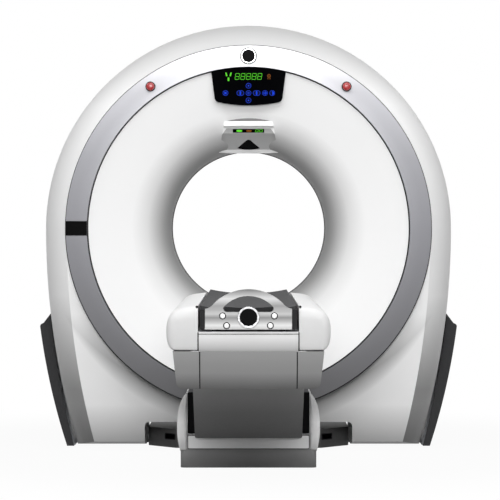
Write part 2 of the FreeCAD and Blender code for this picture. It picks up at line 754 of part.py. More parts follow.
centre_block = new_body("centre_block")
block_inset = S.base_cover_front - S.block_front
extruded(centre_block, "XY", 0, S.block_top, [base_plan(block_inset, S.plate_rear)])
weldment = fused("weldment", plate, centre_block, tower, mirror_of("tower_left", tower))
anchors = new_body("anchors")
anchor_x = foot_outer - S.anchor_in
extruded(anchors, "XY", -S.cut_over, S.plate_thick + S.cut_over, circles=[
    (x, y, S.anchor_radius) for x in (-anchor_x, anchor_x)
    for y in (S.anchor_front, S.anchor_rear)
])
keep("base_frame", less("base_frame", weldment, anchors))


base_cover = new_body("base_cover_blank")
extruded(base_cover, "XY", 0, S.base_cover_top, [base_plan(0, S.base_cover_rear)])
inner_top = S.base_cover_top - S.base_cover_wall
inside_plan = base_plan(S.base_cover_wall, S.base_cover_rear + S.cut_over)
extruded(base_cover, "XY", -S.cut_over, inner_top, [inside_plan], cut=True)
tongue_gap = block(
    "tongue_gap", (-S.tongue_slot, S.tongue_slot), (-S.base_cover_front - S.cut_over, 0),
    (0, S.tongue_gap),
)
keep("base_front_cover", less("base_front_cover", base_cover, tongue_gap, plate))


def side_cover_outline(inset, inward, below):
    """The front outline of the dark cover beside a tower, and of the hollow that it opens to."""
    inner = body_half_width(floor_sweep, 0) + S.side_cover_gap - inward
    crest = body_half_width(S.side_cover_in_top, 0) + S.side_cover_gap - inward
    depth = S.side_cover_in_top + inset
    out_top = S.side_cover_out_top + inset
    foot = -S.iso_height - below
    round_off = S.side_cover_corner
    return [
        (crest, -depth), Bend(S.side_bow + S.side_cover_gap, "right"), (inner, foot),
        (side_cover_foot - inset, foot), Bend(S.side_cover_bow, "left"),
        (hip_outer + S.hip_gap - inset, -S.hip_depth), Bend(S.side_cover_bow, "left"),
        (side_cover_out - inset, -out_top), Bend(round_off, "left"),
        (side_cover_out - inset - round_off, round_off - out_top),
    ]


nothing = as_size(0)
side_cover = new_body("side_cover_blank", S.iso_height)
extruded(side_cover, "XZ", S.side_cover_front, S.side_cover_rear, [
    side_cover_outline(nothing, nothing, nothing),
])
extruded(
    side_cover, "XZ", S.side_cover_front + S.side_cover_wall,
    S.side_cover_rear - S.side_cover_wall,
    [side_cover_outline(S.side_cover_wall, 4 * S.side_cover_gap, S.side_cover_wall)], cut=True,
)
side_cover_right = less("side_cover", side_cover, plate)
keep("side_cover_right", side_cover_right)
keep("side_cover_left", mirror_of("side_cover_left", side_cover_right))

drive_face = -tower_inner
drive_limits = (drive_face, drive_face + S.drive_thick)
drive_disc = rod("drive_disc", "X", S.drive_radius, *drive_limits, z=S.iso_height)
drive_neck = block(
    "drive_neck", drive_limits, (0, S.motor_y + S.drive_neck), (iso(-S.motor_top), S.iso_height)
)
motor = rod(
    "motor", "Z", S.motor_radius, iso(-S.motor_foot), iso(-S.motor_top),
    x=drive_face + S.motor_radius, y=S.motor_y,
)
shaft_hole = rod(
    "shaft_hole", "X", S.drive_bore, drive_face - S.cut_over,
    drive_face + S.drive_thick + S.cut_over,
    z=S.iso_height,
)
drive_body = fused("drive_body", drive_disc, drive_neck, motor)
keep("tilt_drive", less("tilt_drive", drive_body, shaft_hole))

# ---------------------------------------------------------------- tilting frame

frame_ring = ring_part(
    "frame_ring", (S.frame_front, S.frame_rear), (frame_bore, frame_radius)
)
frame_cheek = block(
    "frame_cheek", (cheek_in, cheek_out), (-S.cheek_reach, S.frame_rear),
    (iso(-S.cheek_half), iso(S.cheek_half)),
)
stub_shaft = rod(
    "stub_shaft", "X", S.trunnion_radius, cheek_in, tower_outer, z=S.iso_height
)
frame_side = fused("frame_side", frame_cheek, stub_shaft)
arms = []
for angle in (-45, 0, 45):
    arm = doc.addObject("Part::Box", "outrigger")
    half = S.outrigger_half
    set_size(arm, "Length", 2 * half)
    set_size(arm, "Width", S.outrigger_depth)
    set_size(arm, "Height", body_radius - frame_radius + S.cut_over)
    start = frame_radius - S.cut_over
    lean = as_size(angle)
    arm.Placement.Rotation = FreeCAD.Rotation(FreeCAD.Vector(0, 1, 0), angle)
    put(
        arm, start * sine(lean) - half * cosine(lean), S.frame_front,
        iso(start * cosine(lean) + half * sine(lean)),
    )
    arms.append(arm)
reach = rod(
    "reach", "Y", body_radius - S.cover_wall - S.seat_gap, S.frame_front, S.frame_rear,
    z=S.iso_height,
)
outriggers = shared("outriggers", fused("outrigger_arms", *arms), reach)
keep("tilt_frame", fused(
    "tilt_frame", frame_ring, frame_side, mirror_of("frame_side_left", frame_side), outriggers
))

keep("bearing_outer_race", ring_part(
    "bearing_outer_race", (S.race_front, S.race_rear), (race_inner, frame_bore)
))
stator_front = S.rotor_face + S.rotor_plate + S.air_gap
keep("drive_stator", ring_part(
    "drive_stator", (stator_front, S.frame_front), (stator_inner, stator_outer)
))
slip_rear = S.rotor_face + S.rotor_plate + S.slip_thick
brush_circle = (slip_inner + slip_outer) / 2
brush_x = brush_circle * sine(S.brush_angle)
brush_z = brush_circle * cosine(S.brush_angle)
keep("brush_block", block(
    "brush_block", (brush_x - S.brush_half, brush_x + S.brush_half),
    (slip_rear + S.air_gap, S.frame_front),
    (iso(-brush_z - S.brush_half), iso(S.brush_half - brush_z)),
))

# ---------------------------------------------------------------- rotor

roller_cage = new_body("roller_cage", S.iso_height)
cage_radii = (roller_circle - S.cage_half, roller_circle + S.cage_half)
revolved(roller_cage, rectangle((S.cage_front, S.cage_rear), cage_radii))
roller = extruded(
    roller_cage, "XZ", S.race_front + S.race_end, S.race_rear - S.race_end,
    circles=[(0, roller_circle, roller_radius)],
)
rollers = roller_cage.newObject("PartDesign::PolarPattern", "rollers")
rollers.Originals = [roller]
rollers.Axis = (roller.Profile[0], ["N_Axis"])
rollers.Angle = 360
set_size(rollers, "Occurrences", S.roller_count)
roller_cage.Tip = rollers
keep("roller_cage", roller_cage)

rotor_plate = new_body("rotor_plate", S.iso_height)
plate_rear = S.rotor_face + S.rotor_plate
rim_inner = rotor_radius - S.rim
revolved(rotor_plate, [
    (S.rotor_face, rotor_inner), (S.hub_rear, rotor_inner), (S.hub_rear, hub_radius),
    (plate_rear, hub_radius), (plate_rear, rotor_radius), (S.rim_front, rotor_radius),
    (S.rim_front, rim_inner), (S.rotor_face, rim_inner),
])
keep("rotor_plate", rotor_plate)
keep("slip_ring", ring_part(
    "slip_ring", (plate_rear, slip_rear), (slip_inner, slip_outer)
))

tube_height = iso(tube_centre)
tube_case = rod("tube_case", "Y", S.tube_radius, -S.tube_front, S.rotor_face, z=tube_height)
tube_end = rod("tube_end", "Y", S.tube_cap, -S.tube_cap_front, -S.tube_front, z=tube_height)
keep("xray_tube", fused("xray_tube", tube_case, tube_end))

jaws = block(
    "jaws", (-S.collimator_half, S.collimator_half), (-S.collimator_front, S.rotor_face),
    (iso(collimator_low), iso(collimator_high)),
)
beam_slot = block(
    "beam_slot", (-S.beam_half, S.beam_half), (-S.beam_gap, S.beam_gap),
    (iso(collimator_low - S.cut_over), iso(collimator_high + S.cut_over)),
)
keep("collimator", less("collimator", jaws, beam_slot))


def from_focus(radius, side):
    """A point of an arc about the tube's focal spot, at the edge of the fan of rays."""
    angle = S.detector_angle
    return (side * radius * sine(angle), focus_radius - radius * cosine(angle))


detector = new_body("detector", S.iso_height)
extruded(detector, "XZ", -S.detector_front, S.rotor_face, [[
    from_focus(detector_inner, -1), Bend(detector_inner, "left"),
    from_focus(detector_inner, 1), from_focus(detector_outer, 1),
    Bend(detector_outer, "right"), from_focus(detector_outer, -1),
]])
keep("detector", detector)

keep("hv_generator", block(
    "hv_generator", (tank_inner, tank_outer), (-S.tank_front, S.rotor_face),
    (iso(-S.tank_half), iso(S.tank_half)),
))
cooling_unit = new_body("cooling_unit", S.iso_height)
extruded(cooling_unit, "XZ", -S.cooler_front, S.rotor_face, [
    rectangle((-tank_outer, -tank_inner), (-S.cooler_half, S.cooler_half)),
])
first_gap = S.fin_gap / 2 - S.cooler_half + S.fin_gap / 2
fin_slot = extruded(cooling_unit, "XZ", -S.cooler_front - S.cut_over, S.rotor_face - S.fin_depth, [
    rectangle(
        (-tank_outer - S.cut_over, S.fin_depth - tank_outer),
        (first_gap, first_gap + S.fin_gap),
    ),
], cut=True)
fins = cooling_unit.newObject("PartDesign::LinearPattern", "fins")
fins.Originals = [fin_slot]
fins.Direction = (fin_slot.Profile[0], ["V_Axis"])
set_size(fins, "Length", S.fin_pitch * (S.fin_count - 1))
set_size(fins, "Occurrences", S.fin_count)
cooling_unit.Tip = fins
keep("cooling_unit", cooling_unit)

# ---------------------------------------------------------------- control panel and keys

panel_slope = sine(S.panel_tilt) / cosine(S.panel_tilt)
panel_top = ring_inner - S.panel_gap
panel_lip = ring_lip - S.panel_gap
panel_foot = panel_top - S.panel_foot
panel_chin = panel_top - S.panel_chin
key_row = panel_top - S.key_drop


def panel_face(height):
    """Where the control panel's leaning face is along the bore, at a height over the isocentre."""
    return (panel_top - height) * panel_slope - panel_lip


panel_corner_z = root(panel_top * panel_top - S.panel_half_top * S.panel_half_top)
panel_blank = new_body("panel_blank", S.iso_height)
extruded(panel_blank, "XZ", -panel_lip - S.cut_over, S.panel_depth - panel_lip, [[
    (S.panel_half_top, panel_corner_z), Bend(panel_top, "left"),
    (-S.panel_half_top, panel_corner_z), (-S.panel_half_low, panel_foot),
    Bend(S.panel_corner, "left"), (-S.panel_chin_half, panel_chin),
    Bend(S.panel_bow, "left"), (S.panel_chin_half, panel_chin),
    Bend(S.panel_corner, "left"), (S.panel_half_low, panel_foot),
]])
over = panel_top + S.cut_over
under = panel_chin - S.panel_depth / 2
before_panel = -panel_lip - S.panel_depth
extruded(panel_blank, "YZ", -S.panel_half_top - S.cut_over, S.panel_half_top + S.cut_over, [[
    (panel_face(over), over), (panel_face(under), under), (before_panel, under),
    (before_panel, over),
]], cut=True)
trim_behind_funnel(panel_blank)

KEYS = {
    "key_home": (-S.key_far, 0, 0), "key_in": (-S.key_step, 0, S.capsule_half),
    "key_laser": (0, 0, 0), "key_out": (S.key_step, 0, S.capsule_half),
    "key_zero": (S.key_near, 0, 0), "key_tilt": (S.key_end, 0, 0),
    "key_up": (0, S.key_rise, 0), "key_down": (0, -S.key_rise, 0),
}


def key_form(name, x, rise, half, radius, low, high):
    """A round or oblong pin at right angles to the panel's face, between two depths."""
    height = key_row + rise
    body = doc.addObject("PartDesign::Body", name)
    turn = 90 - S.panel_tilt
    body.Placement.Rotation = FreeCAD.Rotation(FreeCAD.Vector(-1, 0, 0), turn.value)
    set_size(body, "Placement.Rotation.Angle", turn)
    put(body, x, panel_face(height), iso(height))
    if float(half) == 0:
        extruded(body, "XY", low, high, circles=[(0, 0, radius)])
    else:
        extruded(body, "XY", low, high, [[
            (-half, -radius), (half, -radius), Bend(radius, "left"), (half + radius, 0),
            Bend(radius, "left"), (half, radius), (-half, radius), Bend(radius, "left"),
            (-half - radius, 0), Bend(radius, "left"),
        ]])
    return body


pocket_floor = S.key_thick - S.key_proud + S.key_travel + S.seat_gap
wells = []
for name, (x, rise, half) in KEYS.items():
    low = -S.key_proud
    keep(name, key_form(name, x, rise, half, S.key_radius, low, S.key_thick - S.key_proud))
    wide = S.key_radius + S.key_gap
    wells.append(key_form(name + "_well", x, rise, half, wide, -S.cut_over, pocket_floor))
keep("control_panel", less("control_panel", panel_blank, *wells))

# ---------------------------------------------------------------- visor

# the visor's points: heights over the isocentre, and places along the bore before it
visor_top = S.bore_radius + S.visor_top
visor_side = S.bore_radius + S.visor_side
visor_low = S.bore_radius + S.visor_low
lip_high = S.bore_radius + S.lip_high
lip_low = S.bore_radius + S.lip_low
face_high = S.bore_radius + S.face_high
chin_high = S.bore_radius + S.chin_high
end_low = S.bore_radius + S.end_low
strip_low = S.bore_radius + S.strip_low
strip_high = S.bore_radius + S.strip_high
laser_low = S.bore_radius + S.laser_low
laser_high = S.bore_radius + S.laser_high
brow_y = throat_front + S.brow_y
visor_lip = throat_front + S.visor_lip
visor_face = throat_front + S.visor_face
chin_y = throat_front + S.chin_y
visor_end = throat_front + S.visor_end
chin_slope = (chin_y - visor_end) / (chin_high - end_low)


def chin_face(height):
    """Where the visor's sloping underside is along the bore, at a height over the isocentre."""
    return (chin_high - height) * chin_slope - chin_y


visor_span = (-S.visor_low_half - S.cut_over, S.visor_low_half + S.cut_over)
side_rise = visor_top - visor_side
brow_round = (S.visor_half * S.visor_half + side_rise * side_rise) / (2 * side_rise)
visor_blank = new_body("visor_blank", S.iso_height)
extruded(visor_blank, "XZ", -visor_lip - S.cut_over, -throat_front, [[
    (S.visor_half, visor_side), Bend(brow_round, "left"), (-S.visor_half, visor_side),
    (-S.visor_low_half, visor_low), (S.visor_low_half, visor_low),
]])
before = -visor_lip - S.cut_past
extruded(visor_blank, "YZ", *visor_span, [[
    (-brow_y, visor_top + S.cut_over), (-brow_y, visor_top), (-visor_lip, lip_high),
    (-visor_lip, lip_low), (-visor_face, face_high), (-chin_y, chin_high),
    (-visor_end, end_low), (-visor_end, visor_low - S.cut_over),
    (before, visor_low - S.cut_over), (before, visor_top + S.cut_over),
]], cut=True)
trim_behind_funnel(visor_blank)

face_slope = (visor_face - chin_y) / (face_high - chin_high)


def strip_face(height):
    """Where the upright face over the visor's chin is, less the strip's step out of it."""
    return (face_high - height) * face_slope - visor_face - S.strip_proud


indicator_strip = new_body("indicator_strip", S.iso_height)
extruded(indicator_strip, "YZ", -S.strip_half, S.strip_half, [[
    (strip_face(strip_low), strip_low),
    (strip_face(strip_low) + S.strip_thick, strip_low),
    (strip_face(strip_high) + S.strip_thick, strip_high),
    (strip_face(strip_high), strip_high),
]])
keep("indicator_strip", indicator_strip)

laser_window = new_body("laser_window", S.iso_height)
laser_bow = (S.laser_half * S.laser_half + S.laser_sag * S.laser_sag) / (2 * S.laser_sag)
extruded(laser_window, "XZ", -visor_lip, -throat_front, [[
    (S.laser_flat, laser_high), Bend(2 * S.laser_flat, "left"),
    (-S.laser_flat, laser_high), (-S.laser_half, laser_low), Bend(laser_bow, "left"),
    (S.laser_half, laser_low),
]])
high = laser_high + 2 * S.cut_over
low = laser_low - 2 * S.cut_over
for step, far in ((-S.strip_proud, before), (S.strip_thick, -throat_front / 2)):
    extruded(laser_window, "YZ", *visor_span, [[
        (chin_face(high) + step, high), (chin_face(low) + step, low), (far, low), (far, high),
    ]], cut=True)
keep("laser_window", laser_window)
keep("visor_hood", less("visor_hood", visor_blank, indicator_strip, laser_window))

# ---------------------------------------------------------------- stops and side plate

bezels = []
for side, x in STOPS.items():
    limits = (-ring_lip - S.bezel_proud, -S.front_face - S.bezel_root)
    collar = rod("collar_" + side, "Y", bezel_outer, *limits, x=x, z=iso(stop_z))
    bore = rod("collar_bore_" + side, "Y", bezel_inner, *limits, x=x, z=iso(stop_z))
    bezels.append(less("bezel_" + side, collar, bore))
    cap = new_body("stop_" + side, S.iso_height)
    extruded(
        cap, "XZ", -ring_lip - S.stop_proud, -S.front_face - S.stop_root,
        circles=[(x, stop_z, S.stop_radius)],
    )
    keep("estop_" + side, cap)
keep("estop_bezels", fused("estop_bezels", *bezels))

plate_shell = new_body("plate_shell", S.iso_height)
plate_back = -ring_lip - S.plate_gap
plate_edge = -ring_edge - S.plate_gap
revolved(plate_shell, [
    (plate_back, ring_inner), (plate_back - S.plate_sheet, ring_inner),
    Bend(S.ring_bulge, "right"), (plate_edge - S.plate_sheet, ring_outer),
    (plate_edge, ring_outer), Bend(S.ring_bulge, "left"),
])
plate_zone = block(
    "plate_zone", (-ring_outer - S.cut_over, S.cut_over - ring_inner),
    (-ring_lip - S.cut_over, -S.front_face),
    (iso(-S.plate_half), iso(S.plate_half)),
)
keep("side_plate", shared("side_plate", plate_shell, plate_zone))

# ---------------------------------------------------------------- table base

cheek_front = pivot_y + S.cheek_front
cheek_rear = rear_pivot_y - S.cheek_rear
floor_front = pivot_y + S.floor_front
floor_rear = rear_pivot_y - S.floor_rear
table_cheek = block(
    "table_cheek", (S.cheek_inner, cheek_outer), (-cheek_front, -cheek_rear),
    (0, S.cheek_top),
)
table_floor = block(
    "table_floor", (-cheek_outer, cheek_outer), (-floor_front, -floor_rear),
    (0, S.floor_thick),
)
tongue = block(
    "tongue", (-S.tongue_half, S.tongue_half), (-floor_rear, -S.block_front),
    (0, S.floor_thick),
)
pins = [
    rod("base_pin", "X", S.pin_radius, -cheek_outer, cheek_outer, y=-y, z=S.pivot_height)
    for y in (pivot_y, rear_pivot_y)
]
table_anchors = new_body("table_anchors")
extruded(table_anchors, "XY", -S.cut_over, S.floor_thick + S.cut_over, circles=[
    (x, -y, S.anchor_radius) for x in (-S.table_anchor_x, S.table_anchor_x)
    for y in (pivot_y - S.table_anchor_front, rear_pivot_y + S.table_anchor_rear)
])
table_blank = fused(
    "table_blank", table_floor, tongue, table_cheek, mirror_of("cheek_left", table_cheek)
)
keep("base_pivot_pins", fused("base_pivot_pins", *pins))
keep("table_base", less("table_base", table_blank, table_anchors, *pins))

plinth = new_body("plinth")
corner = S.plinth_corner


def plinth_plan(inset, corner_round):
    """The plan of the plinth: a box with round corners towards the foot of the table."""
    half = plinth_half - inset
    front = inset - plinth_front
    rear = -plinth_rear - inset
    return [
        (-half + corner_round, front), (half - corner_round, front), Bend(corner_round, "left"),
        (half, front + corner_round), (half, rear), (-half, rear),
        (-half, front + corner_round), Bend(corner_round, "left"),
    ]


extruded(plinth, "XY", 0, S.plinth_top, [plinth_plan(nothing, corner)])
wall = S.plinth_wall
plinth_inside = plinth_plan(wall, corner - wall)
extruded(plinth, "XY", -S.cut_over, S.plinth_top - wall, [plinth_inside], cut=True)
leg_well = plinth_half - wall
extruded(plinth, "XY", S.plinth_top - wall - S.cut_over, S.plinth_top + S.cut_over, [
    rectangle((-leg_well, leg_well), (-cheek_front - S.well_gap, S.well_gap - cheek_rear)),
], cut=True)
tongue_way = block(
    "tongue_way", (-S.tongue_slot, S.tongue_slot), (-plinth_rear - 2 * S.cut_over, 2 * S.cut_over - plinth_rear),
    (0, S.tongue_gap),
)
keep("plinth_cover", less("plinth_cover", plinth, tongue_way))


def ear_outline(inset):
    """The front outline of the cover over a cheek of the table's base, less a wall."""
    inner = ear_inner - inset * 4
    low = S.ear_low - inset * 4
    return [
        (inner, low), (plinth_half + S.ear_low_side - inset, low),
        (plinth_half + S.ear_side - inset, S.ear_side_height),
        (plinth_half + S.ear_bend_side - inset, S.ear_bend),
        (ear_inner + S.ear_tip_half - inset, S.ear_tip - inset), (inner, S.ear_tip - inset),
    ]


ear = new_body("ear")
extruded(ear, "XZ", -ear_front, -ear_rear, [ear_outline(nothing)])
ear_limits = (ear_inner - S.cut_over, plinth_half + S.ear_side + S.cut_over)
over_ear = S.ear_tip + S.cut_over
behind_ear = S.cut_over - ear_rear
extruded(ear, "YZ", *ear_limits, [[
    (S.ear_crest - ear_front, over_ear), (behind_ear, S.ear_tail), (behind_ear, over_ear),
]], cut=True)
extruded(
    ear, "XZ", S.ear_wall - ear_front, -ear_rear - S.ear_wall, [ear_outline(S.ear_wall)],
    cut=True,
)
plinth_zone = block(
    "plinth_zone", (-plinth_half, plinth_half), (-plinth_front, -plinth_rear),
    (0, S.plinth_top),
)
ear_right = less("ear_right", ear, plinth_zone)
keep("ear_cover_right", ear_right)
keep("ear_cover_left", mirror_of("ear_left", ear_right))

keep("lift_drive", block(
    "lift_drive", (-S.lift_half, S.lift_half),
    (S.lift_front - rear_pivot_y, S.lift_rear - rear_pivot_y),
    (S.floor_thick, S.lift_top),
))

# ---------------------------------------------------------------- legs


def leg_body(name, pivot):
    """A body drawn along a leg: the leg runs from its lower pivot along -Y of the body."""
    body = doc.addObject("PartDesign::Body", name)
    turn = leg_angle
    body.Placement.Rotation = FreeCAD.Rotation(FreeCAD.Vector(-1, 0, 0), turn.value)
    set_size(body, "Placement.Rotation.Angle", turn)
    put(body, 0, -pivot, S.pivot_height)
    return body


def leg_frame(name, pivot, bar, bar_end, arm, upper_bore):
    """A pair of parallel arms between a lower and an upper cross tube, bored for the pins."""
    body = leg_body(name, pivot)
    bar_half = S.cheek_inner - bar_end
    extruded(body, "YZ", -bar_half, bar_half, circles=[(0, 0, bar)])
    far = arm + S.arm_thick
    side = rectangle((-S.leg_length, 0), (-S.arm_half, S.arm_half))
    extruded(body, "YZ", arm, far, [side])
    extruded(body, "YZ", -far, -arm, [side])
    half = beam_inner - S.upper_bar_end
    extruded(body, "YZ", -half, half, circles=[(-S.leg_length, 0, S.upper_bar_radius)])
    lower_bore = S.pin_radius + S.running_gap
    past = bar_half + S.cut_over
    extruded(body, "YZ", -past, past, circles=[(0, 0, lower_bore)], cut=True)
    extruded(body, "YZ", -past, past, circles=[(-S.leg_length, 0, upper_bore)], cut=True)
    return body


fitted = S.upper_pin_radius + S.running_gap
loose = S.upper_pin_radius + S.open_pivot_gap
keep("front_legs", leg_frame(
    "front_legs", pivot_y, S.bar_radius, S.bar_end, S.front_arm, fitted
))
keep("rear_legs", leg_frame(
    "rear_legs", rear_pivot_y, S.rear_bar_radius, S.rear_bar_end, S.rear_arm, loose
))
leg_cover = leg_body("leg_cover", pivot_y)
wall = S.leg_cover_wall
half = S.leg_cover_half
cover_length = (-S.leg_cover_end, -S.leg_cover_start)
extruded(leg_cover, "YZ", -half, half, [
    rectangle(cover_length, (-S.leg_cover_front, S.leg_cover_back)),
])
inside_front = wall - S.leg_cover_front
extruded(leg_cover, "YZ", wall - half, half - wall, [
    rectangle(
        (-S.leg_cover_end - S.cut_over, S.cut_over - S.leg_cover_start),
        (inside_front, S.leg_cover_back + S.cut_over),
    ),
], cut=True)
rib_inner = S.front_arm + S.rib_set
for low in (rib_inner, -rib_inner - S.rib_thick):
    extruded(leg_cover, "YZ", low, low + S.rib_thick, [
        rectangle(cover_length, (inside_front, -S.arm_half)),
    ])
keep("leg_cover", leg_cover)

# ---------------------------------------------------------------- table top



def on_table(*offsets):
    """Heights given from the cradle's edge."""
    return tuple(table_height + offset for offset in offsets)


deck = block(
    "deck", (-S.deck_half, S.deck_half), (-deck_front, -S.deck_rear),
    on_table(S.deck_low, S.deck_top),
)
side_beam = block(
    "side_beam", (beam_inner, S.deck_half), (-S.beam_front, -S.deck_rear),
    on_table(S.beam_low, S.deck_low),
)
lug_inner = S.roller_half + S.lug_gap
lug_outer = lug_inner + S.lug_thick
lug = block(
    "lug", (lug_inner, lug_outer), (-roller_y - S.lug_half, S.lug_half - roller_y),
    on_table(S.lug_low, S.lug_over - roller_drop),
)
deck_hatch = block(
    "deck_hatch", (-lug_inner, lug_inner), (-roller_y - S.hatch_half, S.hatch_half - roller_y),
    on_table(S.deck_low - S.cut_over, S.deck_top + S.cut_over),
)
frame_pins = [
    rod("frame_pin", "X", S.upper_pin_radius, -S.deck_half, S.deck_half, y=-y, z=upper_pivot_z)
    for y in upper_pivots
]
roller_z = table_height - roller_drop
axle_hole = rod(
    "axle_hole", "X", S.roller_pin + S.running_gap, -lug_outer - S.cut_over,
    lug_outer + S.cut_over, y=-roller_y, z=roller_z,
)
deck_open = less("deck_open", deck, deck_hatch)
frame_blank = fused(
    "frame_blank", deck_open, side_beam, mirror_of("beam_left", side_beam), lug,
    mirror_of("lug_left", lug),
)
keep("upper_frame", less("upper_frame", frame_blank, axle_hole, *frame_pins))
keep("upper_pivot_pins", fused("upper_pivot_pins", *frame_pins))
roller_body = rod(
    "roller_body", "X", S.roller_size, -S.roller_half, S.roller_half, y=-roller_y,
    z=roller_z,
)
roller_axle = rod(
    "roller_axle", "X", S.roller_pin, -lug_outer, lug_outer, y=-roller_y, z=roller_z
)
keep("cradle_roller", fused("cradle_roller", roller_body, roller_axle))

table_side = new_body("table_side", table_height)
foot_half = S.deck_half + S.foot_side
low_wide = S.deck_half + S.low_side
side_wide = S.deck_half + S.wide_side
crest_half = S.deck_half + S.crest_side
cover_far = S.deck_rear - S.foot_wall
extruded(table_side, "XZ", -S.foot_end, -cover_far, [[
    (S.channel_half, S.side_foot), (foot_half, S.side_foot), (low_wide, S.side_low_height),
    (side_wide, S.side_wide_height), Bend(S.side_round, "left"), (crest_half, S.side_crest),
    (S.channel_half, 0),
]])
wall = S.table_wall
below = S.side_foot - S.cut_over
open_half = S.channel_half - S.cut_over
extruded(table_side, "XZ", wall - S.foot_end, -cover_far - wall, [[
    (open_half, below), (foot_half - wall, below), (foot_half - wall, S.side_foot),
    (low_wide - wall, S.side_low_height), (side_wide - wall, S.side_wide_height),
    Bend(S.side_round - wall, "left"), (crest_half - wall / 2, S.side_crest - wall),
    (S.channel_half + wall, -wall), (S.channel_half + wall, S.deck_top),
    (open_half, S.deck_top),
]], cut=True)
keep("table_side_right", table_side)
keep("table_side_left", mirror_of("table_side_twin", table_side))

panel_half = S.channel_half - S.panel_seam
foot_panel = block(
    "foot_blank", (-panel_half, panel_half), (-S.foot_end, -deck_front),
    on_table(S.side_foot, S.deck_top - S.panel_seam),
)
groove = block(
    "groove", (-panel_half - S.cut_over, panel_half + S.cut_over),
    (-S.foot_end - S.cut_over, S.groove_deep - S.foot_end),
    on_table(S.groove_low, S.groove_high),
)
keep("foot_panel", less("foot_panel", foot_panel, groove))


def lower_section(inset):
    """The outer section of the cover under the table top, right half, less a wall."""
    low_half = body_low_half - inset
    low = S.body_low + inset
    inner = S.body_seam - inset * 3
    top = S.side_foot + inset
    return [
        (inner, low), (low_half - S.body_corner, low), Bend(S.body_corner * 1.1, "left"),
        (low_half + S.body_flare, low + S.body_corner), (body_top_half - inset, top),
        (inner, top),
    ]


lower_side = new_body("lower_side", table_height)
extruded(lower_side, "XZ", -S.foot_end, -S.deck_rear, [lower_section(nothing)])
extruded(
    lower_side, "XZ", S.table_wall - S.foot_end, S.cut_over - S.deck_rear,
    [lower_section(S.table_wall)], cut=True,
)
leg_way = (S.body_seam - S.cut_over, body_low_half - S.table_wall)
extruded(lower_side, "XZ", -S.beam_front, S.cut_over - S.deck_rear, [
    rectangle(leg_way, (S.body_low - S.cut_over, S.side_foot + S.cut_over)),
], cut=True)
keep("lower_side_covers", fused(
    "lower_side_covers", lower_side, mirror_of("lower_side_twin", lower_side)
))
seam = S.body_seam - S.panel_seam
tray = block(
    "tray", (-seam, seam), (-S.foot_end, -S.beam_front), on_table(S.body_low, S.side_foot)
)
tray_inside = block(
    "tray_inside", (-seam - S.cut_over, seam + S.cut_over),
    (S.table_wall - S.foot_end, S.cut_over - S.beam_front),
    on_table(S.body_low + S.table_wall, S.side_foot + S.cut_over),
)
keep("lower_cover_centre", less("lower_cover_centre", tray, tray_inside))

# ---------------------------------------------------------------- cradle

cradle = new_body("cradle", table_height)
sagitta_square = S.cradle_sag * S.cradle_sag
sag_round = (cradle_half * cradle_half + sagitta_square) / (2 * S.cradle_sag)
extruded(cradle, "XZ", -cradle_foot, -S.cradle_head, [[
    (-cradle_half, -cradle_rim), Bend(cradle_under, "left"), (cradle_half, -cradle_rim),
    (cradle_half, 0), Bend(sag_round, "right"), (-cradle_half, 0),
]])
keep("cradle", cradle)
skid = block(
    "skid", (S.skid_inner, S.skid_inner + S.skid_thick), (-cradle_foot, -S.skid_end),
    on_table(S.deck_top + S.skid_gap, -S.skid_in),
)
keep("cradle_skids", less(
    "cradle_skids", fused("skid_pair", skid, mirror_of("skid_left", skid)), cradle
))

handle = new_body("handle", table_height)
handle_half = S.channel_half - S.handle_side
neck = S.neck_half
dome_rise = S.handle_top - S.handle_neck
dome = (neck * neck + dome_rise * dome_rise) / (2 * dome_rise)
extruded(handle, "XZ", -S.foot_end, -cradle_foot, [[
    (handle_half, S.handle_low), (handle_half, S.handle_corner), Bend(S.neck_round, "right"),
    (neck, S.handle_neck), Bend(dome, "left"), (-neck, S.handle_neck),
    Bend(S.neck_round, "right"), (-handle_half, S.handle_corner), (-handle_half, S.handle_low),
]])
grip = S.grip_half
grip_floor = grip - S.grip_corner
extruded(handle, "XZ", -S.foot_end - S.cut_over, S.cut_over - cradle_foot, [[
    (grip, S.grip_side), Bend(S.grip_radius, "left"), (-grip, S.grip_side),
    Bend(S.grip_corner, "left"), (-grip_floor, S.grip_low), (grip_floor, S.grip_low),
    Bend(S.grip_corner, "left"),
]], cut=True)
keep("cradle_handle", handle)
keep("handle_boss", rod(
    "handle_boss", "Y", S.boss_radius, -S.foot_end - S.boss_proud, -S.foot_end,
    z=table_height + S.boss_height,
))

# ---------------------------------------------------------------- check and write out

doc.recompute()
broken = [thing.Label for thing in doc.Objects if {"Invalid", "Error"} & set(thing.State)]
if broken:
    raise RuntimeError("objects that failed: " + ", ".join(broken))
for node in NODES:
    if node.Shape.isNull() or not node.Shape.isValid() or not node.Shape.Solids:
        raise RuntimeError(node.Label + " has no valid solid")
for node in NODES:
    node.Shape.exportStep("parts/" + node.Label + ".step")
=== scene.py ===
import json
import math

import bmesh
import bpy
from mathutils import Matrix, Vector


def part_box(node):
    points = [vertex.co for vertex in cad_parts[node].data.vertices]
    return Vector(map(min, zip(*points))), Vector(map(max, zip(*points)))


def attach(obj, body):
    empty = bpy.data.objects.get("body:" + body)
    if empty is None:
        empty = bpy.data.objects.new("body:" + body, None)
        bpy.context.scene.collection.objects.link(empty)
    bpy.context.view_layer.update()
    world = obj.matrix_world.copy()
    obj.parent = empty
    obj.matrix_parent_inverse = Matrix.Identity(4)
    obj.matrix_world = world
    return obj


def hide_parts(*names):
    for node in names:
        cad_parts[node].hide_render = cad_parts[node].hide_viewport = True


# The looks of the CT scanner: materials for the CAD nodes and the small pieces that only Blender
# makes. Metres, in the CAD's frame: the origin is on the floor below the isocentre, +X is to the
# right as seen from the foot of the table, +Y runs along the bore, +Z is up.

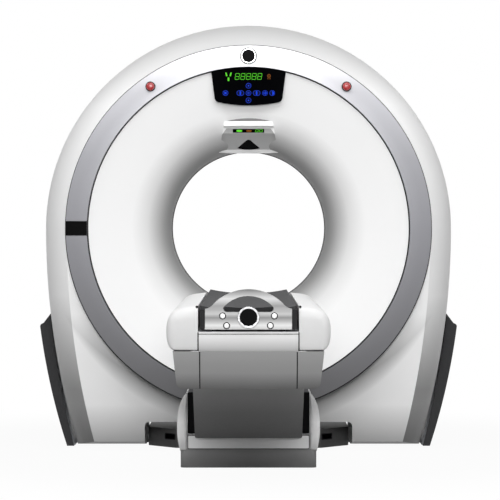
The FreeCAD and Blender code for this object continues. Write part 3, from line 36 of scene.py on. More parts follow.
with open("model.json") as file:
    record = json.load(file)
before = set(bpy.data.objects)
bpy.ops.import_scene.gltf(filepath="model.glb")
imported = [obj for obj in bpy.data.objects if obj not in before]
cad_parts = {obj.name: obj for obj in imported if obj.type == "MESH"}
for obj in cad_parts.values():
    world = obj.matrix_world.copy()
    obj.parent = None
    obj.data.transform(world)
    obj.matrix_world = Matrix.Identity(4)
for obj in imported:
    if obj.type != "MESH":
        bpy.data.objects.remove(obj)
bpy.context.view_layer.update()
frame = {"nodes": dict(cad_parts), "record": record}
nodes = frame["nodes"]

ISO = 1.0  # height of the isocentre
BORE_RADIUS = 0.350
HANDLE_HEIGHT = ISO - 0.262  # level with the crest of the table's side covers

# ---------------------------------------------------------------- materials


COAT_ROUGHNESS = 0.12
RAMP_START = 0.35  # noise hardly leaves this range
RAMP_END = 0.65


class Shader:
    """A node material built step by step round one Principled shader."""

    def __init__(self, name, colour, roughness=0.5, metallic=0.0, coat=0.0, shine=0.5):
        self.material = bpy.data.materials.new(name)
        self.material.use_nodes = True
        self.tree = self.material.node_tree
        self.shader = self.tree.nodes["Principled BSDF"]
        self.set("Base Color", (*colour, 1))
        self.set("Roughness", roughness)
        self.set("Metallic", metallic)
        self.set("Coat Weight", coat)
        self.set("Coat Roughness", COAT_ROUGHNESS)
        self.set("Specular IOR Level", shine)
        self.colour = colour
        self.roughness = roughness
        self.coordinates = self.node("ShaderNodeTexCoord").outputs

    def set(self, socket, value):
        self.shader.inputs[socket].default_value = value

    def node(self, kind, **inputs):
        made = self.tree.nodes.new(kind)
        for name, value in inputs.items():
            made.inputs[name.replace("_", " ")].default_value = value
        return made

    def link(self, source, target):
        self.tree.links.new(source, target)

    def result_of(self, operation, first, second=None):
        """One step of arithmetic on a socket; the second term is a number or a socket."""
        step = self.node("ShaderNodeMath")
        step.operation = operation
        self.link(first, step.inputs[0])
        if isinstance(second, float):
            step.inputs[1].default_value = second
        elif second is not None:
            self.link(second, step.inputs[1])
        return step.outputs[0]

    def noise(self, scale, detail=2.0, stretch=(1, 1, 1)):
        mapping = self.node("ShaderNodeMapping", Scale=stretch)
        self.link(self.coordinates["Object"], mapping.inputs["Vector"])
        noise = self.node("ShaderNodeTexNoise", Scale=scale, Detail=detail)
        self.link(mapping.outputs["Vector"], noise.inputs["Vector"])
        return noise.outputs["Fac"]

    def ramp(self, source, stops):
        """Colour from a source that goes from 0 to 1, by stops of (place, colour) in order."""
        ramp = self.node("ShaderNodeValToRGB")
        elements = ramp.color_ramp.elements
        elements.remove(elements[1])
        elements[0].position = stops[0][0]
        elements[0].color = (*stops[0][1], 1)
        for place, colour in stops[1:]:
            elements.new(place).color = (*colour, 1)
        self.link(source, ramp.inputs["Fac"])
        return ramp.outputs["Color"]

    def vary_colour(self, scale, amount, stretch=(1, 1, 1)):
        """Small uneven lightness all over, as paint and moulded plastic have."""
        dark = tuple(c * (1 - amount) for c in self.colour)
        light = tuple(min(c * (1 + amount), 1) for c in self.colour)
        noise = self.noise(scale, 3, stretch)
        tone = self.ramp(noise, [(RAMP_START, dark), (RAMP_END, light)])
        self.link(tone, self.shader.inputs["Base Color"])
        return self

    def vary_roughness(self, scale, amount, stretch=(1, 1, 1)):
        low = grey(self.roughness - amount)
        high = grey(self.roughness + amount)
        tone = self.ramp(self.noise(scale, 4, stretch), [(RAMP_START, low), (RAMP_END, high)])
        self.link(tone, self.shader.inputs["Roughness"])
        return self

    def bump(self, scale, strength, distance=0.0005, stretch=(1, 1, 1), detail=2.0):
        bump = self.node("ShaderNodeBump", Strength=strength, Distance=distance)
        self.link(self.noise(scale, detail, stretch), bump.inputs["Height"])
        self.link(bump.outputs["Normal"], self.shader.inputs["Normal"])
        return self

    def part(self, axis, kind="Object"):
        """One axis of the place on the object, or of the way that its surface faces."""
        split = self.node("ShaderNodeSeparateXYZ")
        self.link(self.coordinates[kind], split.inputs["Vector"])
        return split.outputs[axis]

    def radius(self):
        """The distance from the bore's axis."""
        flat = self.node("ShaderNodeMapping", Location=(0, 0, -ISO), Scale=(1, 0, 1))
        self.link(self.coordinates["Object"], flat.inputs["Vector"])
        length = self.node("ShaderNodeVectorMath")
        length.operation = "LENGTH"
        self.link(flat.outputs["Vector"], length.inputs[0])
        return length.outputs["Value"]

    def frontness(self):
        """How far the surface faces along the bore: 1 on the front and 0 on the flanks."""
        return self.result_of("ABSOLUTE", self.part("Y", "Normal"))

    def curled(self, edge, slope, limit):
        """The height, raised at both sides beyond an edge, so that bands bend down there."""
        height = self.part("Z")
        aside = self.result_of("ABSOLUTE", self.part("X"))
        beyond = self.result_of("SUBTRACT", aside, edge)
        beyond = self.result_of("MAXIMUM", beyond, 0.0)
        beyond = self.result_of("MULTIPLY", beyond, slope)
        bent = self.result_of("ADD", beyond, height)
        bent = self.result_of("MINIMUM", bent, limit)
        return self.result_of("MAXIMUM", bent, height)

    def spread(self, source, low, high, first=0.0, last=1.0):
        """A value that goes from first to last while the source goes from low to high."""
        span = self.node(
            "ShaderNodeMapRange", From_Min=low, From_Max=high, To_Min=first, To_Max=last
        )
        self.link(source, span.inputs["Value"])
        return span.outputs["Result"]

    def grade(self, stops, source=None):
        """Colour that changes with a source, or else the height: (place, colour) in order."""
        low = stops[0][0]
        high = stops[-1][0]
        shares = [((place - low) / (high - low), colour) for place, colour in stops]
        tone = self.ramp(self.spread(source or self.part("Z"), low, high), shares)
        self.link(tone, self.shader.inputs["Base Color"])
        return self

    def shade(self, source, low, high, least, heights):
        """Painted shade where the source is low, less so towards the upper of two heights."""
        share = self.result_of(
            "MAXIMUM", self.spread(source, low, high, least, 1.0),
            self.spread(self.part("Z"), *heights),
        )
        mixed = self.node("ShaderNodeVectorMath")
        mixed.operation = "MULTIPLY"
        base = self.shader.inputs["Base Color"]
        self.link(base.links[0].from_socket, mixed.inputs[0])
        self.link(share, mixed.inputs[1])
        self.link(mixed.outputs["Vector"], base)
        return self

    def glow(self, colour, strength):
        self.set("Emission Color", (*colour, 1))
        self.set("Emission Strength", strength)
        return self


def grey(level):
    return (level, level, level)


def sprayed(shader):
    """A fine orange peel and a gloss that hardly varies, as sprayed enamel has."""
    return shader.vary_roughness(30, 0.02).bump(420, 0.04).material


def enamel(name, colour, roughness=0.3, coat=0.25):
    """Sprayed enamel under a clear gloss."""
    return sprayed(Shader(name, colour, roughness, coat=coat).vary_colour(40, 0.006))


def cover_shader(name, colour):
    """The satin finish of the big pale covers."""
    return Shader(name, colour, 0.42, shine=0.15)


def cover_enamel(name, colour):
    """The enamel of the big pale covers."""
    return sprayed(cover_shader(name, colour).vary_colour(40, 0.006))


def painted_light_enamel(name, stops):
    """A pale cover with painted light and shade: its tone changes with the height."""
    return sprayed(cover_shader(name, stops[-1][1]).grade(stops))


def painted_shade_plastic(name, stops):
    """A dark cover with painted shade: its tone changes with the height."""
    shader = Shader(name, stops[-1][1], 0.55, shine=0.15).grade(stops)
    return shader.vary_roughness(80, 0.04).bump(900, 0.2).material


def textured_plastic(name, colour, roughness=0.55, grain=900, shine=0.3):
    """Moulded plastic with a fine grain."""
    shader = Shader(name, colour, roughness, shine=shine)
    return shader.vary_colour(60, 0.04).vary_roughness(80, 0.04).bump(grain, 0.2).material


def brushed(name, colour, direction, roughness=0.3):
    """Metal brushed along one direction."""
    stretch = tuple(0.02 if axis == direction else 1 for axis in "xyz")
    shader = Shader(name, colour, roughness, metallic=1.0)
    shader.vary_colour(160, 0.05, stretch).vary_roughness(220, 0.06, stretch)
    return shader.bump(500, 0.08, 0.0002, stretch).material


def lit(name, colour):
    """The face of a small lamp: a dark coloured diffuser that glows by itself."""
    tint = tuple(part * 0.2 for part in colour)
    shader = Shader(name, tint, 0.4, shine=0.1).vary_roughness(200, 0.05).bump(900, 0.05)
    return shader.glow(colour, 1.0).material


def lacquer():
    """The ring's silver lacquer, with painted light: darker at its foot and paler upwards."""
    shader = Shader("ring_lacquer_painted_light", grey(0.4), 0.36, 0.2, coat=0.3)
    # painted light: the colour pales with the height, as the lamps would light it
    shader.grade([
        (0.18, (0.11, 0.11, 0.115)), (0.45, (0.155, 0.155, 0.165)), (0.9, (0.25, 0.25, 0.27)),
        (1.3, (0.345, 0.345, 0.37)), (1.6, (0.49, 0.49, 0.52)), (1.7, (0.66, 0.66, 0.69)),
        (1.82, (0.74, 0.74, 0.75)),
    ])
    return shader.vary_roughness(60, 0.03).bump(600, 0.04).material


def throat_painted_shade():
    """The funnel's enamel, with painted shade that greys it where it runs into the bore."""
    shader = cover_shader("funnel_enamel_painted_shade", grey(0.84))
    # painted shade: greyer towards the bore
    return sprayed(shader.grade([
        (0.345, grey(0.19)), (0.363, grey(0.32)), (0.40, grey(0.56)), (0.449, grey(0.80)),
        (0.52, grey(0.93)),
    ], shader.radius()))


def shell_painted_shade():
    """Front cover enamel with painted shade: near floor and top, on low flanks, under the ring."""
    shader = cover_shader("shell_enamel_painted_shade", grey(0.93))
    # painted shade: darker towards the floor and towards the top
    shader.grade([
        (0.02, grey(0.40)), (0.10, grey(0.62)), (0.21, grey(0.93)), (0.60, grey(0.93)),
        (1.55, grey(0.93)), (1.88, grey(0.60)),
    ])
    # a painted shadow on the cover just outside the ring's lower half
    shader.shade(shader.radius(), 0.800, 0.905, least=0.15, heights=(0.16, 0.62))
    # painted shade on the flanks, growing towards the floor
    shader.shade(shader.frontness(), 0.70, 0.93, least=0.35, heights=(0.05, 0.70))
    return sprayed(shader)


def hood_painted_light():
    """The visor: grey, a painted highlight on its lip, painted shade on the brow and below it."""
    shader = Shader("hood_enamel_painted_light", grey(0.3), 0.36, coat=0.2)
    highlight_low = ISO + 0.4453
    highlight_high = ISO + 0.476
    highlight_half = 0.098
    fall = 1.4  # how steeply the painted highlight drops beyond that
    soft = 0.0006
    height = shader.curled(highlight_half, fall, highlight_high - 0.002)
    # a painted highlight on the lip, painted shade on the brow and darker grey up under the lip
    shader.grade([
        (ISO + 0.33, grey(0.66)), (ISO + 0.40, grey(0.54)), (highlight_low - soft, grey(0.44)),
        (highlight_low, grey(0.93)), (highlight_high, grey(0.93)), (highlight_high + soft, grey(0.16)),
        (ISO + 0.50, grey(0.24)),
    ], height)
    return shader.vary_roughness(60, 0.03).bump(420, 0.04).material


def plate_painted_reflections():
    """The handle's plate: brushed across, with painted reflections in soft bands by height."""
    shader = Shader("brushed_plate", grey(0.5), 0.4, 0.8)
    edge = HANDLE_HEIGHT
    # painted reflections: light and dark bands by height
    shader.grade([
        (edge - 0.080, grey(0.26)), (edge - 0.066, grey(0.37)), (edge - 0.052, grey(0.22)),
        (edge - 0.040, grey(0.13)), (edge - 0.028, grey(0.26)), (edge, grey(0.16)),
        (edge + 0.024, grey(0.32)), (edge + 0.056, grey(0.085)),
    ])
    stretch = (0.02, 1, 1)
    return shader.vary_roughness(220, 0.05, stretch).bump(500, 0.08, 0.0002, stretch).material


MATERIALS = {
    "cover_white": cover_enamel("white_enamel", grey(0.84)),
    "ring_grey": lacquer(),
    "hood_grey": hood_painted_light(),
    # painted shade: the lower covers darker towards their foot
    "body_grey": painted_light_enamel("body_enamel_painted_shade", [
        (0.45, grey(0.12)), (0.475, grey(0.20)), (0.51, grey(0.315)), (0.56, grey(0.34)),
    ]),
    "dark_cover": textured_plastic("dark_cover", (0.035, 0.035, 0.037), 0.55, shine=0.15),
    "frame_steel": enamel("frame_primer", (0.30, 0.31, 0.33), 0.5, 0.0),
    "leg_grey": enamel("leg_paint", (0.60, 0.60, 0.61), 0.4),
    "drive_metal": textured_plastic("drive_paint", (0.16, 0.17, 0.18), 0.5, 300),
    "rotor_metal": brushed("rotor_metal", (0.62, 0.63, 0.65), "x", 0.4),
    "pin_steel": brushed("pin_steel", (0.50, 0.50, 0.51), "x", 0.25),
    "brushed_plate": plate_painted_reflections(),
    "boss_dark": textured_plastic("boss_dark", (0.003, 0.003, 0.0035), 0.4, 300, 0.03),
    "cradle_grey": textured_plastic("cradle_laminate", (0.060, 0.060, 0.062), 0.7, 500, 0.1),
    "panel_black": Shader("panel_gloss", (0.0012, 0.0012, 0.0018), 0.15, shine=0.025)
    .vary_roughness(12, 0.03).bump(300, 0.02).material,
    "black_plastic": textured_plastic("black_plastic", (0.012, 0.012, 0.013), 0.5, shine=0.15),
    "window_film": textured_plastic("window_film", (0.10, 0.10, 0.105), 0.4, 700),
    "stop_red": Shader("stop_red", (0.36, 0.010, 0.014), 0.3, coat=0.2)
    .vary_colour(60, 0.06).vary_roughness(40, 0.04).bump(300, 0.04).material,
    "key_blue": Shader("key_face", (0.004, 0.005, 0.02), 0.3, shine=0.1)
    .vary_roughness(80, 0.05).bump(500, 0.05).material,
}
# painted light and shade on the ears: palest low down, darker at the foot and towards the top
ear_enamel_painted_light = painted_light_enamel("ear_enamel_painted_light", [
    (0.07, grey(0.70)), (0.13, grey(0.93)), (0.19, grey(0.93)), (0.26, grey(0.58)),
    (0.31, grey(0.52)),
])
# nodes whose tone differs from the rest of their slot, most of them by painted light and shade
SPECIAL = {
    "front_funnel": throat_painted_shade(),
    "front_cover": shell_painted_shade(),
    # painted shade: darker towards the panel's foot
    "foot_panel": painted_light_enamel("panel_enamel_painted_shade", [
        (0.586, grey(0.56)), (0.60, grey(0.68)), (0.63, grey(0.93)),
    ]),
    # painted shade: darker towards the floor
    "leg_cover": painted_shade_plastic("leg_cover_plastic_painted_shade", [
        (0.13, grey(0.12)), (0.25, grey(0.17)), (0.33, grey(0.25)), (0.44, grey(0.38)),
    ]),
    # painted shade: darker towards the floor
    "plinth_cover": painted_shade_plastic("plinth_plastic_painted_shade", [
        (0.0, grey(0.15)), (0.02, grey(0.18)), (0.075, grey(0.30)),
    ]),
    "base_front_cover": textured_plastic("base_plastic", grey(0.15), shine=0.15),
    "side_plate": textured_plastic("plate_black", grey(0.004), shine=0.03),
    "ear_cover_left": ear_enamel_painted_light,
    "ear_cover_right": ear_enamel_painted_light,
}

for entry in frame["record"]["subparts"]:
    mesh = nodes[entry["node"]].data
    mesh.materials.clear()
    mesh.materials.append(SPECIAL.get(entry["node"], MATERIALS[entry["material_slot"]]))

LIT = {
    "green": lit("lit_green", (0.10, 0.62, 0.03)),
    "amber": lit("lit_amber", (0.17, 0.055, 0.010)),
    "blue": lit("lit_blue", (0.006, 0.045, 0.62)),
}

# ---------------------------------------------------------------- building small pieces


class Face:
    """A flat place on the scanner that small pieces stand on: its middle, up and outwards."""

    def __init__(self, middle, up=(0, 0, 1), across=(1, 0, 0)):
        self.middle = Vector(middle)
        self.across = Vector(across).normalized()
        self.up = Vector(up).normalized()
        self.out = self.across.cross(self.up)

    def point(self, u, v, level=0.0):
        return self.middle + self.across * u + self.up * v + self.out * level

    def moved(self, u, v, level=0.0):
        return Face(self.point(u, v, level), self.up, self.across)


SMOOTH_BELOW = math.radians(40)  # edges sharper than this stay sharp


def circle(radius, count=48, flat=1.0, start=0.0):
    turns = [start + 2 * math.pi * step / count for step in range(count)]
    return [(radius * math.cos(turn), radius * flat * math.sin(turn)) for turn in turns]


def capsule(half, radius, count=12):
    """A round-ended bar lying across."""
    outline = []
    for side, first in ((1, -0.5), (-1, 0.5)):
        for step in range(count + 1):
            turn = math.pi * (first + step / count)
            outline.append((side * half + radius * math.cos(turn), radius * math.sin(turn)))
    return outline


def rounded_box(half_u, half_v, radius, count=6):
    """A rectangle with round corners."""
    outline = []
    corners = ((1, 1, 0), (-1, 1, 0.5), (-1, -1, 1), (1, -1, 1.5))
    for side_u, side_v, first in corners:
        for step in range(count + 1):
            turn = math.pi * (first + 0.5 * step / count)
            u = side_u * (half_u - radius) + radius * math.cos(turn)
            v = side_v * (half_v - radius) + radius * math.sin(turn)
            outline.append((u, v))
    return outline


def slab(bm, face, outline, low, high, edge=0.0):
    """A flat form between two levels over a face, its upper edge softened."""
    top = [bm.verts.new(face.point(u, v, high)) for u, v in outline]
    foot = [bm.verts.new(face.point(u, v, low)) for u, v in outline]
    upper = bm.faces.new(top)
    bm.faces.new(list(reversed(foot)))
    for index in range(len(outline)):
        after = (index + 1) % len(outline)
        bm.faces.new((foot[index], foot[after], top[after], top[index]))
    if edge:
        bmesh.ops.bevel(bm, geom=list(upper.edges), offset=edge, segments=2, affect="EDGES")


def frame_of(bm, face, outer, inner, low, high):
    """A flat form with a hole: two outlines of as many points, between two levels."""
    rings = []
    for outline, level in ((outer, low), (outer, high), (inner, high), (inner, low)):
        rings.append([bm.verts.new(face.point(u, v, level)) for u, v in outline])
    count = len(outer)
    for ring, following in zip(rings, rings[1:] + rings[:1]):
        for index in range(count):
            after = (index + 1) % count
            bm.faces.new((ring[index], ring[after], following[after], following[index]))


def turned(bm, face, profile, count=64):
    """A form turned about a face's outward line, from (radius, level) points."""
    rings = []
    for radius, level in profile:
        if radius == 0:
            rings.append([bm.verts.new(face.point(0, 0, level))])
        else:
            ring = [bm.verts.new(face.point(u, v, level)) for u, v in circle(radius, count)]
            rings.append(ring)
    for ring, following in zip(rings, rings[1:]):
        for index in range(count):
            after = (index + 1) % count
            if len(following) == 1:
                bm.faces.new((ring[index], ring[after], following[0]))
            elif len(ring) == 1:
                bm.faces.new((ring[0], following[after], following[index]))
            else:
                bm.faces.new((ring[index], ring[after], following[after], following[index]))


def piece(name, bm, material, body, smooth=False):
    """Closes a mesh into an object that rides on a body and wears the material it is given."""
    bmesh.ops.recalc_face_normals(bm, faces=bm.faces)
    mesh = bpy.data.meshes.new(name)
    bm.to_mesh(mesh)
    bm.free()
    mesh.materials.append(material)
    made = bpy.data.objects.new(name, mesh)
    bpy.context.scene.collection.objects.link(made)
    if smooth:
        for polygon in mesh.polygons:
            polygon.use_smooth = True
        edge_split = made.modifiers.new("edges", "EDGE_SPLIT")
        edge_split.split_angle = SMOOTH_BELOW
    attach(made, body)
    return made


def middle_of(node):
    """The middle of a CAD node's box."""
    low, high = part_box(node)
    return (Vector(low) + Vector(high)) / 2


# ---------------------------------------------------------------- control panel

KEY_THICK = 0.004
KEY_PROUD = 0.0015
panel_up = (middle_of("key_up") - middle_of("key_down")).normalized()
panel = Face(middle_of("key_laser"), panel_up).moved(0, 0, KEY_THICK / 2 - KEY_PROUD)

STROKE = 0.0019
STROKE_GAP = 0.0005
DIGIT_LEAN = 0.16
FILM = 0.0004  # how far lit bars and signs stand proud


def segment(bm, face, length, upright):
    """One lit bar of a digit, pointed at both ends."""
    half = length / 2
    side = STROKE / 2
    bar = [
        (-half, 0), (side - half, -side), (half - side, -side), (half, 0), (half - side, side),
        (side - half, side),
    ]
    if upright:
        bar = [(-v, u) for u, v in bar]
    slab(bm, face, bar, 0, FILM)


def digit(bm, face, width, height, bars):
    """A seven-bar digit: bars are named a to g clockwise from the top, the middle one last."""
    across = (width - STROKE) / 2
    up = (height - STROKE) / 2
    places = {
        "a": (0, up), "b": (across, up / 2), "c": (across, -up / 2), "d": (0, -up),
        "e": (-across, -up / 2), "f": (-across, up / 2), "g": (0, 0),
    }
    for name in bars:
        u, v = places[name]
        upright = name in "bcef"
        length = (up if upright else 2 * across) - STROKE_GAP
        segment(bm, face.moved(u + DIGIT_LEAN * v, v), length, upright)


DISPLAY_RISE = 0.0745
DIGIT_PITCH = 0.0248
DISPLAY_DIGIT = (0.0190, 0.0285)
digits = bmesh.new()
for place in range(-2, 3):
    digit(digits, panel.moved(place * DIGIT_PITCH, DISPLAY_RISE), *DISPLAY_DIGIT, "abcdefg")
piece("display_digits", digits, LIT["green"], "gantry")

TABLE_SIGN_ASIDE = -0.0885
ARM_SPREAD = 0.25
table_sign = bmesh.new()
sign = panel.moved(TABLE_SIGN_ASIDE, DISPLAY_RISE)
slab(table_sign, sign.moved(0, -0.0125), rounded_box(0.0038, 0.008, 0.0015), 0, FILM)
for side in (-1, 1):
    arm_up = sign.up + sign.across * side * ARM_SPREAD
    arm = Face(sign.point(side * 0.0095, 0.0095), arm_up, sign.across)
    slab(table_sign, arm, rounded_box(0.0032, 0.0085, 0.0014), 0, FILM)
piece("display_table_sign", table_sign, LIT["green"], "gantry")

BEAM_SIGN_ASIDE = 0.0905
beam_sign = bmesh.new()
sign = panel.moved(BEAM_SIGN_ASIDE, DISPLAY_RISE)
beam_head = sign.moved(0, 0.003)
frame_of(beam_sign, beam_head, circle(0.0078, 32), circle(0.0045, 32), 0, FILM)
slab(beam_sign, beam_head, circle(0.0022, 20), 0, FILM)
for side in (-1, 1):
    stand = sign.moved(side * 0.0045, -0.0085)
    slab(beam_sign, stand, rounded_box(0.0016, 0.004, 0.0008), 0, FILM)
piece("display_beam_sign", beam_sign, LIT["amber"], "gantry")

KEY_RADIUS = 0.0125
KEY_EDGE = 0.0006  # from a key's edge to its lit line
KEY_RIM = 0.0016
KEY_FILM = 0.0003


def key_face(name):
    """The front of a key."""
    return Face(middle_of(name), panel_up).moved(0, 0, KEY_THICK / 2)


def key_rim(bm, face, half=0.0):
    """The lit line round a key's edge."""
    outer = capsule(half, KEY_RADIUS - KEY_EDGE)
    inner = capsule(half, KEY_RADIUS - KEY_EDGE - KEY_RIM)
    frame_of(bm, face, outer, inner, 0, KEY_FILM)


def sign_home(bm, face):
    slab(bm, face, circle(0.0052, 40), 0, KEY_FILM)
    for turn in range(4):
        tick = face.moved(*circle(0.0074, 4, start=math.pi / 4)[turn])
        slab(bm, tick, circle(0.0014, 12), 0, KEY_FILM)


def sign_slide(bm, face):
    slab(bm, face, rounded_box(0.0034, 0.0085, 0.0016), 0, KEY_FILM)


def sign_light(bm, face):
    for rise in (-0.004, 0.004):
        slab(bm, face.moved(0, rise), rounded_box(0.005, 0.001, 0.0007), 0, KEY_FILM)
    slab(bm, face, rounded_box(0.0062, 0.0008, 0.0006), 0, KEY_FILM)


def sign_zero(bm, face):
    slab(bm, face.moved(-0.0048, 0), capsule(0, 0.0032), 0, KEY_FILM)
    slab(bm, face.moved(0.001, 0), rounded_box(0.0016, 0.008, 0.0012), 0, KEY_FILM)
    slab(bm, face.moved(0.0058, 0), capsule(0, 0.0028), 0, KEY_FILM)


def sign_tilt(bm, face):
    half_disc = [(u, v) for u, v in circle(0.0088, 40, start=-math.pi / 2) if u > -0.0005]
    slab(bm, face, half_disc, 0, KEY_FILM)


def sign_move(bm, face):
    slab(bm, face, circle(0.0034, 24), 0, KEY_FILM)


SIGNS = {
    "key_home": sign_home, "key_in": sign_slide, "key_out": sign_slide,
    "key_laser": sign_light, "key_zero": sign_zero, "key_tilt": sign_tilt,
    "key_up": sign_move, "key_down": sign_move,
}
for name, draw in SIGNS.items():
    low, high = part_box(name)
    half = (high[0] - low[0]) / 2 - KEY_RADIUS
    lights = bmesh.new()
    key_rim(lights, key_face(name), half)
    draw(lights, key_face(name))
    piece(name + "_light", lights, LIT["blue"], name + "_cap")

# ---------------------------------------------------------------- visor lamps

STRIP_THICK = 0.003
strip_low, strip_high = (Vector(corner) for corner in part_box("indicator_strip"))
strip_back = strip_high.y - STRIP_THICK
strip_up = Vector((0, strip_low.y - strip_back, strip_high.z - strip_low.z))
strip = Face((0, (strip_low.y + strip_back) / 2, (strip_low.z + strip_high.z) / 2), strip_up)

LAMP_PROUD = 0.0008
LAMP_EDGE = 0.0003
# name, colour, place across the strip, radius, and height as a share of the width
VISOR_LAMPS = (
    ("visor_ready_lamp", "green", -0.041, 0.0135, 0.42),
    ("visor_beam_lamp", "amber", 0.002, 0.0125, 0.40),
)
for name, colour, aside, radius, flat in VISOR_LAMPS:
    lamp = bmesh.new()
    slab(lamp, strip.moved(aside, 0), circle(radius, 40, flat), 0, LAMP_PROUD, LAMP_EDGE)
    piece(name, lamp, LIT[colour], "gantry")
VISOR_DIGIT = (0.0145, 0.0122)
seconds = bmesh.new()
for aside in (0.0375, 0.0555):
    digit(seconds, strip.moved(aside, 0), *VISOR_DIGIT, "abcdef")
piece("visor_digits", seconds, LIT["green"], "gantry")

# ---------------------------------------------------------------- beads and seams of the gantry


BEAD_TURNS = 160
BEAD_SIDES = 10
SHADOW_SWELL_CURVE = 0.7
SHADOW_SWELL_OUT = 0.8  # how much of the painted shadow's widening goes outwards


def bead(name, place, radius, thick, shadow_swell=0.0):
    """A soft round bead that fills a seam all round the bore; any wider foot is a painted shadow.
    """
    ring = bmesh.new()
    middle = Face((0, place, ISO))
    loops = []
    for step in range(BEAD_SIDES):
        turn = 2 * math.pi * step / BEAD_SIDES
        loop = []
        for u, v in circle(1.0, BEAD_TURNS):
            size = thick + shadow_swell * max(-v, 0) ** SHADOW_SWELL_CURVE
            reach = radius + (size - thick) * SHADOW_SWELL_OUT + size * math.cos(turn)
            loop.append(ring.verts.new(middle.point(u * reach, v * reach, thick * math.sin(turn))))
        loops.append(loop)
    for loop, following in zip(loops, loops[1:] + loops[:1]):
        for index in range(BEAD_TURNS):
            after = (index + 1) % BEAD_TURNS
            ring.faces.new((loop[index], loop[after], following[after], following[index]))
    rubber = MATERIALS["black_plastic"]
    piece(name, ring, rubber, "gantry", smooth=True)


THROAT_END = -0.121
window_low, window_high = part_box("scan_window")
ring_low, ring_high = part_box("trim_ring")
funnel_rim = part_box("front_funnel")[1][0]
window_bead_radius = BORE_RADIUS - 0.0006
bead("window_bead_front", window_low[1], window_bead_radius, 0.0016)
bead("window_bead_rear", window_high[1], window_bead_radius, 0.0016)
bead("throat_seam", THROAT_END, BORE_RADIUS, 0.0006)
bead("ring_gasket", ring_low[1] + 0.0125, funnel_rim - 0.0021, 0.0023)
# this bead widens round the ring's lower half into a painted shadow
bead("ring_outer_seam_and_shadow", ring_high[1] - 0.0006, ring_high[0] + 0.0010, 0.0022, shadow_swell=0.0015)

# ---------------------------------------------------------------- the plain disc on the ring

DISC_RISE = 0.7615
DISC_RADIUS = 0.033
DISC_INNER = DISC_RADIUS - 0.005
LINE_RADIUS = DISC_RADIUS + 0.0035
DISC_SUNK = -0.002
disc_face = Face((0, ring_low[1], ISO + DISC_RISE))
disc_rim = bmesh.new()
turned(disc_rim, disc_face, [
    (DISC_RADIUS, DISC_SUNK), (DISC_RADIUS, 0.0012), (DISC_RADIUS - 0.0012, 0.0024),
    (DISC_RADIUS - 0.0042, 0.0024), (DISC_INNER, 0.0014), (DISC_INNER, DISC_SUNK),
])
piece("ring_disc_rim", disc_rim, MATERIALS["pin_steel"], "gantry", smooth=True)
disc_line = bmesh.new()
turned(disc_line, disc_face, [
    (LINE_RADIUS, DISC_SUNK), (LINE_RADIUS, 0.0010), (DISC_RADIUS, 0.0010),
    (DISC_RADIUS, DISC_SUNK),
])
piece("ring_disc_line", disc_line, MATERIALS["black_plastic"], "gantry")
disc = bmesh.new()
turned(disc, disc_face, [
    (DISC_INNER, DISC_SUNK), (DISC_INNER, 0.0012), (0.018, 0.0017), (0, 0.0019),
])
piece("ring_disc", disc, MATERIALS["boss_dark"], "gantry", smooth=True)

# ---------------------------------------------------------------- emergency stops

for side in ("left", "right"):
    low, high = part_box("estop_" + side)
    centre = middle_of("estop_" + side)
    front = Face((centre.x, low[1], centre.z))
    radius = (high[0] - low[0]) / 2
    crown = bmesh.new()
    turned(crown, front, [
        (radius - 0.0008, -0.001), (radius - 0.001, 0.001), (radius - 0.004, 0.0032),
        (radius * 0.5, 0.0043), (0, 0.0047),
    ])
    piece(
        "estop_crown_" + side, crown, MATERIALS["stop_red"], "stop_" + side,
        smooth=True,
    )

# ---------------------------------------------------------------- handle

handle = Face((0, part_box("cradle_handle")[0][1], HANDLE_HEIGHT))
boss_low, boss_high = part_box("handle_boss")
boss = Face((0, boss_low[1], middle_of("handle_boss").z))
boss_radius = (boss_high[0] - boss_low[0]) / 2

boss_rim = bmesh.new()
turned(boss_rim, boss, [
    (boss_radius, -0.008), (boss_radius, 0.0008), (boss_radius - 0.0012, 0.0022),
    (boss_radius - 0.0056, 0.0022), (boss_radius - 0.0072, 0.0006), (boss_radius - 0.0072, -0.001),
])
piece("boss_rim", boss_rim, MATERIALS["pin_steel"], "cradle_slider", smooth=True)

SCREWS = ((0.0875, -0.034), (0.074, -0.067))  # places of those on the right
SCREW_RADIUS = 0.0084
WASHER_RADIUS = 0.0118
SCREW_SIDES = 32
screws = bmesh.new()
washers = bmesh.new()
for u, v in SCREWS:
    for side in (-1, 1):
        spot = handle.moved(side * u, v)
        turned(screws, spot, [
            (SCREW_RADIUS, -0.001), (SCREW_RADIUS, 0.0014), (0.0070, 0.0026), (0.0032, 0.0030),
            (0.0030, 0.0020), (0, 0.0020),
        ], SCREW_SIDES)
        turned(washers, spot, [
            (WASHER_RADIUS, -0.001), (WASHER_RADIUS, 0.0007), (SCREW_RADIUS, 0.0007),
            (SCREW_RADIUS, -0.001),
        ], SCREW_SIDES)
screw_steel = brushed("screw_steel", grey(0.85), "x", 0.45)
piece("handle_screws", screws, screw_steel, "cradle_slider", smooth=True)
piece("screw_washers", washers, MATERIALS["black_plastic"], "cradle_slider")

# the dark pad that shows in the lower part of the grip, in front of the cradle's end
GRIP_HALF = 0.086
PAD_SHARE = 0.985  # of the grip's width
PAD_BACK = -0.0198
PAD_FRONT = -0.0125
pad_outline = [(u * PAD_SHARE, v) for u, v in (
    (-GRIP_HALF, -0.0035), (-0.0835, -0.0105), (-0.079, -0.0160), (-0.072, -0.0202),
    (0.072, -0.0202), (0.079, -0.0160), (0.0835, -0.0105), (GRIP_HALF, -0.0035),
    (0.045, -0.0062), (0, -0.0073), (-0.045, -0.0062),
)]
grip_pad = bmesh.new()
slab(grip_pad, handle, pad_outline, PAD_BACK, PAD_FRONT, 0.001)
piece("grip_pad", grip_pad, MATERIALS["black_plastic"], "cradle_slider")

